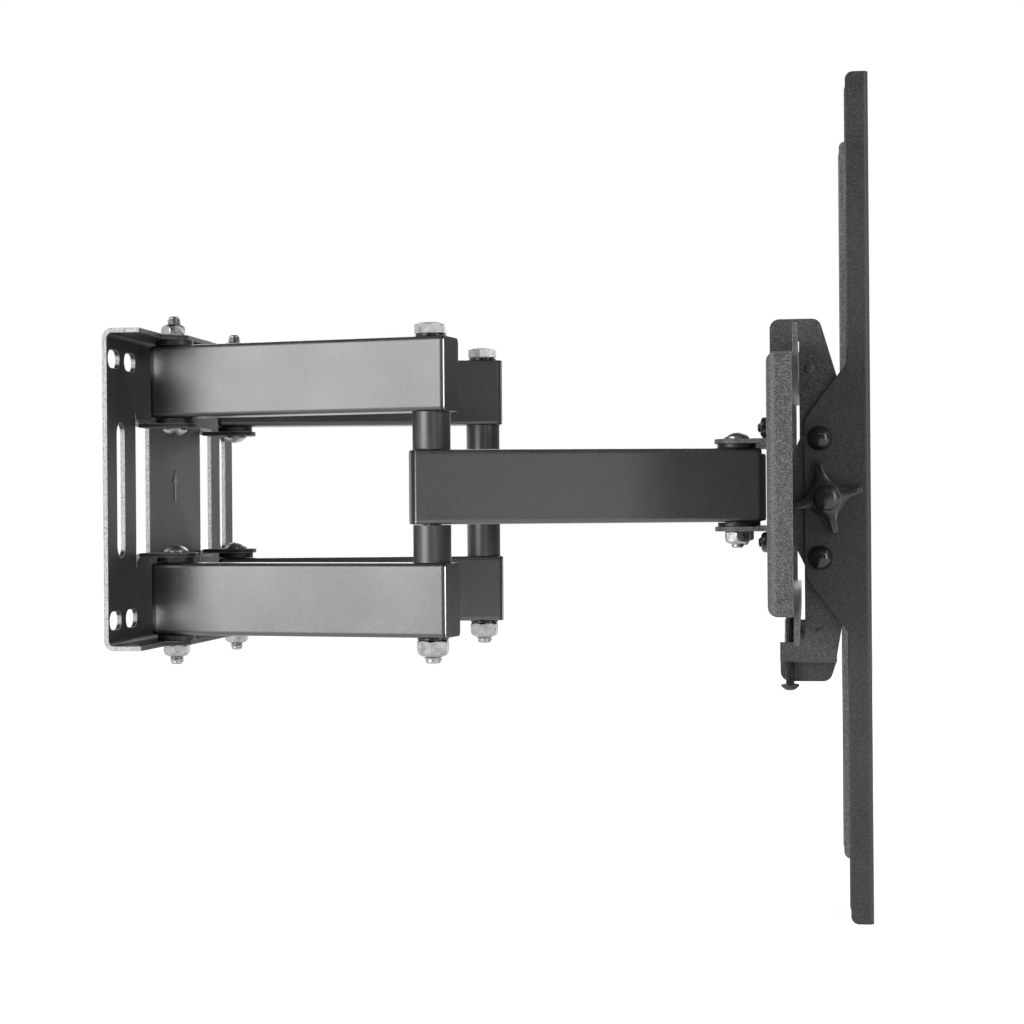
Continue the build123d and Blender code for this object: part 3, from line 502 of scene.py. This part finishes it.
# pieces are modelled in mm along +Z, then set in place and scaled to metres
mm = 0.001
weld = 0.001        # mm, vertices nearer than this are merged
sharpTurn = 34      # degrees, edges that turn more stay sharp
sides = (("near", -1), ("far", 1))
carrier = {node: body for body, members in frame["record"]["behaviour"]["bodies"].items() for node in members}


def copyInto(whole, small, matrix):
    mesh = bpy.data.meshes.new("copy")
    small.to_mesh(mesh)
    mesh.transform(matrix)
    whole.from_mesh(mesh)
    bpy.data.meshes.remove(mesh)


def only(kind, items):
    return [item for item in items if isinstance(item, kind)]


def setPiece(name, bm, finishes, body, stands=(), sharp=sharpTurn):
    bmesh.ops.scale(bm, vec=(mm, mm, mm), verts=bm.verts)
    mesh = bpy.data.meshes.new(name)
    bm.to_mesh(mesh)
    bm.free()
    for finish in finishes:
        mesh.materials.append(finish)
    mesh.shade_smooth()
    mesh.set_sharp_from_angle(angle=radians(sharp))
    obj = bpy.data.objects.new(name, mesh)
    scene.collection.objects.link(obj)
    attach(obj, body)
    if stands:
        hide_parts(*stands)
    return obj


def closeUp(bm):
    bmesh.ops.remove_doubles(bm, verts=bm.verts, dist=weld)
    bmesh.ops.recalc_face_normals(bm, faces=bm.faces)
    return bm


def turned(bm, outline, steps=40, ring=False):
    verts = [bm.verts.new((across, 0, up)) for across, up in outline]
    edges = [bm.edges.new(pair) for pair in zip(verts, verts[1:])]
    if ring:
        edges.append(bm.edges.new((verts[-1], verts[0])))
    bmesh.ops.spin(bm, geom=verts + edges, cent=(0, 0, 0), axis=(0, 0, 1), angle=tau, steps=steps, use_merge=True)


def sixFlats(bm, flats):
    bmesh.ops.remove_doubles(bm, verts=bm.verts, dist=weld)
    for side in range(6):
        way = Vector((cos(side * pi / 3), sin(side * pi / 3), 0))
        cut = bmesh.ops.bisect_plane(bm, geom=bm.verts[:] + bm.edges[:] + bm.faces[:], plane_co=way * flats / 2,
                                     plane_no=way, clear_outer=True, dist=weld / 2)
        rim = only(bmesh.types.BMEdge, cut["geom_cut"])
        bmesh.ops.holes_fill(bm, edges=rim, sides=0)


# the rib's levels are shares of the pitch
threadForm = {"deep": 0.6, "tip": (0.6, 0.7), "sunk": 0.05, "rib": (0.05, 0.42, 0.55, 0.92), "core": 28, "turn": 24}


def threadRidge(bm, radius, pitch, low, high):
    core = radius - threadForm["deep"] * pitch
    inward, taper = threadForm["tip"]
    turned(bm, [(0, low), (core, low), (core, high - taper), (core - inward, high), (0, high)], threadForm["core"])
    root = core - threadForm["sunk"]
    rib = zip((root, radius, radius, root), threadForm["rib"])
    verts = [bm.verts.new((across, 0, low + share * pitch)) for across, share in rib]
    edges = [bm.edges.new((verts[n], verts[(n + 1) % 4])) for n in range(4)]
    turns = max(1, int((high - low) / pitch - 1))
    steps = threadForm["turn"]
    coil = bmesh.ops.spin(bm, geom=verts + edges, cent=(0, 0, 0), axis=(0, 0, 1), dvec=(0, 0, pitch / steps),
                          angle=tau * turns, steps=steps * turns)
    tail = only(bmesh.types.BMEdge, coil["geom_last"])
    for rim in (edges, tail):
        bmesh.ops.holes_fill(bm, edges=rim, sides=0)


crownForm = {"edge": 0.25, "rings": 9, "around": 44}


def crown(bm, radius, high, rim, base=0.0):
    ball = (radius ** 2 + (high - rim) ** 2) / (2 * (high - rim))
    top = bm.verts.new((0, 0, base + high))
    arc = bmesh.ops.spin(bm, geom=[top], cent=(0, 0, base + high - ball), axis=(0, 1, 0),
                         angle=acos(1 - (high - rim) / ball), steps=crownForm["rings"])
    last = only(bmesh.types.BMVert, arc["geom_last"])[0]
    bend = crownForm["edge"]
    low = [bm.verts.new(place) for place in ((radius, 0, base + bend), (radius - bend, 0, base), (0, 0, base))]
    for pair in zip([last] + low, low):
        bm.edges.new(pair)
    line = [edge for edge in bm.edges if not edge.link_faces]
    ends = list({vert for edge in line for vert in edge.verts})
    bmesh.ops.spin(bm, geom=ends + line, cent=(0, 0, 0), axis=(0, 0, 1), angle=tau, steps=crownForm["around"],
                   use_merge=True)


# domed bolts and their lock nuts at the wall and head pivots
domedBolt = {"head": 13.5, "high": 4.2, "rim": 1.2, "shank": 7.9, "pitch": 1.25, "threadLong": 12.0,
             "neck": (0.7, 0.4)}
shankForm = {"sunk": 0.1, "overlap": 0.2, "around": 32}   # sunk into the head, overlap of shank and thread
pivotNut = {"flats": 13.0, "high": 6.6, "bore": 7.0, "seal": 8.4}
wallPivots = {"out": 21.5, "apart": 61.0, "headSeat": 34.8, "nutSeat": 86.2, "tip": 97.2}
headPivots = {"out": 334.016, "apart": 48.0, "headSeat": 25.1, "nutSeat": -25.1, "tip": -34.1}


def boltShape(size, long):
    bm = bmesh.new()
    crown(bm, size["head"] / 2, size["high"], size["rim"])
    body = size["shank"] / 2
    inward, drop = size["neck"]
    sunk, overlap = shankForm["sunk"], shankForm["overlap"]
    start = -long + size["threadLong"]
    turned(bm, [(0, sunk), (body, sunk), (body, start), (body - inward, start - drop), (0, start - drop)],
           shankForm["around"])
    ridge = bmesh.new()
    threadRidge(ridge, body, size["pitch"], 0.0, size["threadLong"] + overlap)
    copyInto(bm, ridge, facing((0, 0, start + overlap), (0, 0, -1)))
    ridge.free()
    return closeUp(bm)


# a nut's rounded top is given in shares of its corner and height
nutForm = {"seat": 0.47, "slope": 0.6, "lip": 0.5, "around": 60, "ringBelow": 0.6, "ringPast": 0.1,
           "top": ((1.0, 0.40), (0.975, 0.60), (0.92, 0.76), (0.84, 0.88), (0.74, 0.96), (0.66, 1.0))}


def nutShape(size):
    bm = bmesh.new()
    corner = size["flats"] / 3 ** 0.5
    seat = size["flats"] * nutForm["seat"]
    slope = (corner - seat) * nutForm["slope"]
    hole, seal, top, lip = size["bore"] / 2, size["seal"] / 2, size["high"], nutForm["lip"]
    outline = [(hole, 0), (seat, 0), (corner, slope)]
    outline += [(corner * across, top * up) for across, up in nutForm["top"]]
    outline += [(seal + lip, top), (seal, top - lip), (hole, top - lip)]
    turned(bm, outline, nutForm["around"], True)
    sixFlats(bm, size["flats"])
    closeUp(bm)
    for face in bm.faces:   # the second finish is the nylon ring around the thread
        middle = face.calc_center_median()
        inRing = middle.xy.length < seal + nutForm["ringPast"]
        face.material_index = int(inRing and middle.z > top - nutForm["ringBelow"])
    return bm


def pivotSet(name, shape, places, finishes, node):
    whole = bmesh.new()
    for place, way in places:
        copyInto(whole, shape, facing(place, way))
    shape.free()
    setPiece(name, whole, finishes, carrier[node], [node])


wallSides = [(side * wallPivots["apart"], up) for side in (-1, 1) for up in (-1, 1)]
pivotSet("wallPivotBolts", boltShape(domedBolt, wallPivots["tip"] - wallPivots["headSeat"]),
         [((wallPivots["out"], side, up * wallPivots["headSeat"]), (0, 0, -up)) for side, up in wallSides],
         [brightZinc], "wall_pivot_bolts")
pivotSet("wallPivotNuts", nutShape(pivotNut),
         [((wallPivots["out"], side, up * wallPivots["nutSeat"]), (0, 0, up)) for side, up in wallSides],
         [brightZinc, whiteNylon], "wall_pivot_nuts")
pivotSet("headPivotBolts", boltShape(domedBolt, headPivots["headSeat"] - headPivots["tip"]),
         [((headPivots["out"], side * headPivots["apart"], headPivots["headSeat"]), (0, 0, 1)) for side in (-1, 1)],
         [brightZinc], "head_pivot_bolts")
pivotSet("headPivotNuts", nutShape(pivotNut),
         [((headPivots["out"], side * headPivots["apart"], headPivots["nutSeat"]), (0, 0, -1)) for side in (-1, 1)],
         [brightZinc, whiteNylon], "head_pivot_nuts")
print("pivot bolts and nuts made")

# long hex bolts through the elbows
elbowBolt = {"flats": 16.0, "high": 6.2, "shank": 9.9, "pitch": 1.5, "threadLong": 16.0, "neck": (0.8, 0.5),
             "out": 172.517, "apart": 88.5, "headSeat": 82.0, "tip": -94.5}
hexForm = {"seat": 0.47, "slope": 0.62, "collar": 0.35, "top": (0.8, 0.05), "around": 60}
elbowNut = {"flats": 16.0, "high": 8.7, "bore": 8.8, "seal": 10.4, "nutSeat": -82.0}


def hexBoltShape(size):
    bm = bmesh.new()
    corner = size["flats"] / 3 ** 0.5
    seat = size["flats"] * hexForm["seat"]
    slope = (corner - seat) * hexForm["slope"]
    top, collar = size["high"], hexForm["collar"]
    flat, fall = hexForm["top"]
    turned(bm, [(0, 0), (seat, 0), (seat, collar), (corner, collar), (corner, top - slope), (seat, top - fall),
                (seat - flat, top), (0, top)], hexForm["around"])
    sixFlats(bm, size["flats"])
    closeUp(bm)
    long = size["headSeat"] - size["tip"]
    body = size["shank"] / 2
    inward, drop = size["neck"]
    sunk, overlap = shankForm["sunk"], shankForm["overlap"]
    start = -long + size["threadLong"]
    shank = bmesh.new()
    turned(shank, [(0, sunk), (body, sunk), (body, start), (body - inward, start - drop), (0, start - drop)],
           shankForm["around"])
    closeUp(shank)
    copyInto(bm, shank, Matrix())
    shank.free()
    ridge = bmesh.new()
    threadRidge(ridge, body, size["pitch"], 0.0, size["threadLong"] + overlap)
    closeUp(ridge)
    copyInto(bm, ridge, facing((0, 0, start + overlap), (0, 0, -1)))
    ridge.free()
    return bm


elbowWasher = {"outer": 17.0, "inner": 10.4, "low": 80.5, "thick": 1.5, "round": 0.35, "around": 48}


def washerShape(size):
    bm = bmesh.new()
    far, near, edge, top = size["outer"] / 2, size["inner"] / 2, size["round"], size["thick"]
    turned(bm, [(near, 0), (far - edge, 0), (far, edge), (far, top - edge), (far - edge, top), (near, top)],
           size["around"], True)
    return closeUp(bm)


for sideName, side in sides:
    elbowAt = (elbowBolt["out"], side * elbowBolt["apart"])
    pivotSet(sideName + "ElbowWashers", washerShape(elbowWasher),
             [((*elbowAt, up * elbowWasher["low"]), (0, 0, up)) for up in (-1, 1)],
             [blackZinc], sideName + "_elbow_washers")
    pivotSet(sideName + "ElbowBolt", hexBoltShape(elbowBolt), [((*elbowAt, elbowBolt["headSeat"]), (0, 0, 1))],
             [brightZinc], sideName + "_elbow_bolt")
    pivotSet(sideName + "ElbowNut", nutShape(elbowNut), [((*elbowAt, elbowNut["nutSeat"]), (0, 0, -1))],
             [brightZinc, whiteNylon], sideName + "_elbow_nut")
print("elbow bolts made")

# bare metal rims beside the end caps at the elbows
tubeRim = {"firstSize": (21.64, 39.64), "firstPast": 11.5, "firstTurn": 10.32, "firstMiddle": 60.5,
           "secondSize": (22.14, 40.14), "secondPast": 9.7, "secondTurn": 14.08,
           "corner": 2.4, "wall": 0.7, "thick": 0.6}


def rimShape(across):
    bm = bmesh.new()
    bmesh.ops.create_grid(bm, x_segments=1, y_segments=1, size=0.5)
    bmesh.ops.scale(bm, vec=(*across, 1), verts=bm.verts)
    bmesh.ops.bevel(bm, geom=bm.verts[:], affect="VERTICES", offset=tubeRim["corner"], offset_type="OFFSET",
                    segments=6, profile=0.5, material=-1)
    bmesh.ops.inset_region(bm, faces=bm.faces[:], thickness=tubeRim["wall"], use_even_offset=True, use_boundary=True)
    inside = max(bm.faces, key=lambda face: len(face.verts))
    bmesh.ops.delete(bm, geom=[inside], context="FACES_ONLY")
    grown = bmesh.ops.extrude_face_region(bm, geom=bm.faces[:])["geom"]
    sunk = only(bmesh.types.BMVert, grown)
    bmesh.ops.translate(bm, vec=(0, 0, -tubeRim["thick"]), verts=sunk)
    bmesh.ops.recalc_face_normals(bm, faces=bm.faces)
    return bm


def elbowRims(sideName, side):
    one = rimShape(tubeRim["firstSize"])
    turn = radians(tubeRim["firstTurn"])
    way = Vector((cos(turn), side * sin(turn), 0))
    elbowAt = Vector((elbowBolt["out"], side * elbowBolt["apart"], 0))
    whole = bmesh.new()
    for up in (-1, 1):
        middle = Vector((0, 0, up * tubeRim["firstMiddle"]))
        copyInto(whole, one, facing(elbowAt + way * tubeRim["firstPast"] + middle, way))
    one.free()
    setPiece(sideName + "FirstRims", whole, [rimMetal], sideName + "_first_arm")
    one = rimShape(tubeRim["secondSize"])
    turn = radians(tubeRim["secondTurn"])
    way = Vector((-cos(turn), side * sin(turn), 0))
    whole = bmesh.new()
    copyInto(whole, one, facing(elbowAt + way * tubeRim["secondPast"], way))
    setPiece(sideName + "SecondRim", whole, [rimMetal], sideName + "_second_arm")
    one.free()


for sideName, side in sides:
    elbowRims(sideName, side)
print("tube rims made")

# black nuts and studs that hold the head bracket on the front plate
bracketStud = {"flats": 9.6, "high": 3.9, "bore": 5.0, "seal": 5.9, "stud": 5.8, "pitch": 1.0,
               "tip": 5.3, "tail": 6.7, "web": 351.016, "apart": 57.0, "level": 31.0}


def bracketStuds(size):
    one = nutShape(size)
    for face in one.faces:
        face.material_index = 0
    stud = bmesh.new()
    threadRidge(stud, size["stud"] / 2, size["pitch"], -size["tail"], size["tip"])
    closeUp(stud)
    copyInto(one, stud, Matrix())
    stud.free()
    whole = bmesh.new()
    for side in (-1, 1):
        for up in (-1, 1):
            copyInto(whole, one, facing((size["web"], side * size["apart"], up * size["level"]), (-1, 0, 0)))
    one.free()
    node = "head_bracket_screws"
    setPiece("headBracketStuds", whole, [blackZinc], carrier[node], [node])


bracketStuds(bracketStud)
print("bracket studs made")

# round black bolts that guide the tilt, and their nuts behind the hook plate
guideBolt = {"head": 12.5, "high": 6.0, "rim": 0.8, "shank": 5.9, "seat": 115.0, "tip": 104.9, "bend": 0.6,
             "around": 28, "sharp": 40, "places": ((378.3184, 22.6324), (378.3184, -38.2324))}
guideNut = {"flats": 10.0, "high": 5.0, "bore": 5.2, "seal": 6.3, "seat": 109.9}


def guideSet(sideName, side):
    bolt = bmesh.new()
    crown(bolt, guideBolt["head"] / 2, guideBolt["high"], guideBolt["rim"])
    body, long = guideBolt["shank"] / 2, guideBolt["seat"] - guideBolt["tip"]
    bend, sunk = guideBolt["bend"], shankForm["sunk"]
    turned(bolt, [(0, sunk), (body, sunk), (body, -long + bend), (body - bend, -long), (0, -long)],
           guideBolt["around"])
    closeUp(bolt)
    nut = nutShape(guideNut)
    kinds = (("GuideBolts", "_guide_bolts", bolt, guideBolt["seat"], side, [blackZinc]),
             ("GuideNuts", "_guide_nuts", nut, guideNut["seat"], -side, [blackZinc, whiteNylon]))
    for label, tail, shape, seat, way, finishes in kinds:
        whole = bmesh.new()
        for out, up in guideBolt["places"]:
            copyInto(whole, shape, facing((out, side * seat, up), (0, way, 0)))
        shape.free()
        node = sideName + tail
        setPiece(sideName + label, whole, finishes, carrier[node], [node], guideBolt["sharp"])


# star knob: one closed skin drawn ring by ring from its foot over the points to the round hub
starKnob = {
    "points": 4, "turn": 13.5, "tip": 18.4, "tipHalf": 2.3, "tipRound": 0.45, "waist": 8.7,
    "foot": 1.2, "footShare": 0.94, "side": 6.4, "top": 7.4,
    "hub": 6.5, "hubRise": 4.0, "hubFoot": 0.3, "hubRings": (0.95, 0.86, 0.74, 0.6, 0.45, 0.3, 0.16),
    "boss": 9.6, "bossEdge": 0.4, "bossSunk": 0.3, "bossAround": 48,
    "around": 128, "sharp": 50, "seat": 115.3, "at": (381.516, -7.8),
}


def starReach(size):
    half = pi / size["points"]
    lead = half - atan2(size["tipHalf"], size["tip"])
    out, across = size["tip"] * cos(lead), size["tip"] * sin(lead)
    # centre of the hollow's arc, out along the valley
    centre = (out ** 2 + across ** 2 - size["waist"] ** 2) / (2 * (out - size["waist"]))
    arc = centre - size["waist"]

    def reach(angle):
        turn = (angle - radians(size["turn"])) % (2 * half)
        off = abs(turn - half)   # from the valley
        if off > lead:
            return size["tip"] + size["tipRound"] * sin((off - lead) / (half - lead) * pi / 2)
        return centre * cos(off) - (arc ** 2 - (centre * sin(off)) ** 2) ** 0.5

    return reach


def knobSkin(size):
    bm = bmesh.new()
    reach = starReach(size)

    def drawTo(vert, far, level):
        angle = atan2(vert.co.y, vert.co.x)
        far = far if far > 1 else reach(angle) * far   # above 1 a round ring in mm, below a share of the star
        vert.co = (cos(angle) * far, sin(angle) * far, size["foot"] + level)

    for vert in bmesh.ops.create_circle(bm, cap_ends=True, segments=size["around"], radius=1.0)["verts"]:
        drawTo(vert, size["footShare"], 0.0)
    rim = [edge for edge in bm.edges if edge.is_boundary]
    side, top, hub = size["side"], size["top"], size["hub"]
    # flank and shoulder of the points, then the hollow around the hub, then its dome
    rings = [(0.985, 0.1), (0.999, 0.5), (0.998, side * 0.5), (0.985, side - 0.35), (0.962, side)]
    rings += [(0.92, side + 0.08), (0.86, top - 0.55)]
    rings += [(hub + 0.9, top - 0.1), (hub + 0.3, top + 0.1), (hub - 0.1, top + 0.5)]
    rings += [(hub * share, top + size["hubFoot"] + size["hubRise"] * (1 - share ** 2) ** 0.5)
              for share in size["hubRings"]]
    for far, up in rings:
        grown = bmesh.ops.extrude_edge_only(bm, edges=rim)["geom"]
        for vert in only(bmesh.types.BMVert, grown):
            drawTo(vert, far, up)
        rim = [edge for edge in only(bmesh.types.BMEdge, grown) if edge.is_boundary]
    bmesh.ops.holes_fill(bm, edges=rim, sides=0)
    boss, bend, high = size["boss"], size["bossEdge"], size["foot"] + size["bossSunk"]
    turned(bm, [(0, 0), (boss - bend, 0), (boss, bend), (boss, high), (0, high)], size["bossAround"])
    return closeUp(bm)


def knobPiece(sideName, side):
    one = knobSkin(starKnob)
    whole = bmesh.new()
    out, up = starKnob["at"]
    place = Matrix.Translation((out, side * starKnob["seat"], up))
    copyInto(whole, one, place @ Matrix.Rotation(side * -pi / 2, 4, "X"))
    one.free()
    node = sideName + "_knob"
    knob = setPiece(sideName + "StarKnob", whole, [knobPlastic], carrier[node], [node],
                    starKnob["sharp"])
    smooth = knob.modifiers.new("smooth", "SUBSURF")
    smooth.levels = smooth.render_levels = 1


# lock screw under the lower lip: fine thread, low round head with a cross recess
lockScrew = {"out": 362.416, "apart": 104.95, "headSeat": -103.5, "tip": -68.5, "radius": 2.45, "pitch": 0.8,
             "head": 9.5, "high": 3.5, "rim": 0.9, "recess": (5.2, 1.3, 1.7), "recessFoot": (0.55, 0.7, 1)}


def lockPiece(sideName, side):
    bm = bmesh.new()
    crown(bm, lockScrew["head"] / 2, lockScrew["high"], lockScrew["rim"])
    closeUp(bm)
    place = facing((lockScrew["out"], side * lockScrew["apart"], lockScrew["headSeat"]), (0, 0, -1))
    long, wide, deep = lockScrew["recess"]
    cross = bmesh.new()
    for turn in (0, pi / 2):
        bar = bmesh.new()
        bmesh.ops.create_cube(bar, size=1.0)
        bmesh.ops.scale(bar, vec=(long, wide, deep * 2), verts=bar.verts)
        foot = [vert for vert in bar.verts if vert.co.z < 0]
        bmesh.ops.scale(bar, vec=lockScrew["recessFoot"], verts=foot)   # the recess narrows downwards
        copyInto(cross, bar, Matrix.Translation((0, 0, lockScrew["high"])) @ Matrix.Rotation(turn, 4, "Z"))
        bar.free()
    whole = bmesh.new()
    copyInto(whole, bm, place)
    bm.free()
    cutMesh = bpy.data.meshes.new("recessCut")
    cross.transform(place)
    bmesh.ops.scale(cross, vec=(mm, mm, mm), verts=cross.verts)
    cross.to_mesh(cutMesh)
    cross.free()
    cutter = bpy.data.objects.new("recessCut", cutMesh)
    scene.collection.objects.link(cutter)
    node = sideName + "_lock_screw"
    screw = setPiece(sideName + "LockScrew", whole, [blackZinc], carrier[node], [node])
    cut = screw.modifiers.new("recess", "BOOLEAN")
    cut.operation = "DIFFERENCE"
    cut.solver = "EXACT"
    cut.use_self = True
    cut.object = cutter
    shaped = bpy.data.meshes.new_from_object(screw.evaluated_get(bpy.context.evaluated_depsgraph_get()))
    screw.modifiers.clear()
    bpy.data.objects.remove(cutter)
    full = bmesh.new()
    full.from_mesh(shaped)
    bmesh.ops.scale(full, vec=(1 / mm, 1 / mm, 1 / mm), verts=full.verts)
    ridge = bmesh.new()
    threadLong = lockScrew["tip"] - lockScrew["headSeat"]
    threadRidge(ridge, lockScrew["radius"], lockScrew["pitch"], -shankForm["sunk"], threadLong)
    closeUp(ridge)
    copyInto(full, ridge, Matrix.Translation((lockScrew["out"], side * lockScrew["apart"], lockScrew["headSeat"])))
    ridge.free()
    bmesh.ops.scale(full, vec=(mm, mm, mm), verts=full.verts)
    full.to_mesh(screw.data)
    full.free()
    screw.data.shade_smooth()
    screw.data.set_sharp_from_angle(angle=radians(sharpTurn))


# small round dimples pressed out of the hook plates
hookDimple = {"radius": 2.7, "high": 0.75, "rim": 0.3, "base": -0.1, "sharp": 60, "face": 112.7,
              "places": ((373.6, 58.6), (377.8, -76.6))}


def dimples(sideName, side):
    one = bmesh.new()
    crown(one, hookDimple["radius"], hookDimple["high"], hookDimple["rim"], hookDimple["base"])
    closeUp(one)
    whole = bmesh.new()
    for out, up in hookDimple["places"]:
        copyInto(whole, one, facing((out, side * hookDimple["face"], up), (0, side, 0)))
    one.free()
    setPiece(sideName + "HookDimples", whole, [hookShadedCoat], sideName + "_hook", (), hookDimple["sharp"])


for sideName, side in sides:
    guideSet(sideName, side)
    knobPiece(sideName, side)
    lockPiece(sideName, side)
    dimples(sideName, side)
print("hook bracket fittings made")

# arrow stamped in the wall plate: this way up
upArrow = {"face": 2.5, "middle": -1.7, "stem": (2.6, -5.5, 6.0), "head": (9.5, 5.6, 12.2), "thick": 0.3}


def arrowMark(size):
    bm = bmesh.new()
    width, low, top = size["stem"]
    bmesh.ops.create_grid(bm, x_segments=1, y_segments=1, size=0.5)
    bmesh.ops.scale(bm, vec=(width, top - low, 1), verts=bm.verts)
    bmesh.ops.translate(bm, vec=(0, (low + top) / 2, 0), verts=bm.verts)
    wide, base, tip = size["head"]
    point = bmesh.ops.create_circle(bm, cap_ends=True, segments=3, radius=1.0)["verts"]
    bmesh.ops.scale(bm, vec=(wide / 3 ** 0.5, (tip - base) / 1.5, 1), verts=point)
    bmesh.ops.translate(bm, vec=(0, base + (tip - base) / 3, 0), verts=point)
    raised = bmesh.ops.extrude_face_region(bm, geom=bm.faces[:])["geom"]
    front = only(bmesh.types.BMVert, raised)
    bmesh.ops.translate(bm, vec=(0, 0, size["thick"]), verts=front)
    bmesh.ops.recalc_face_normals(bm, faces=bm.faces)
    for face in bm.faces:   # the head is darker than the stem
        face.material_index = int(face.calc_center_median().y > top)
    upright = Matrix(((0, 0, 1, size["face"]), (1, 0, 0, size["middle"]), (0, 1, 0, 0), (0, 0, 0, 1)))
    bmesh.ops.transform(bm, matrix=upright, verts=bm.verts)
    setPiece("upArrow", bm, [markGrey, blackZinc], "wall")


arrowMark(upArrow)
print("arrow made")
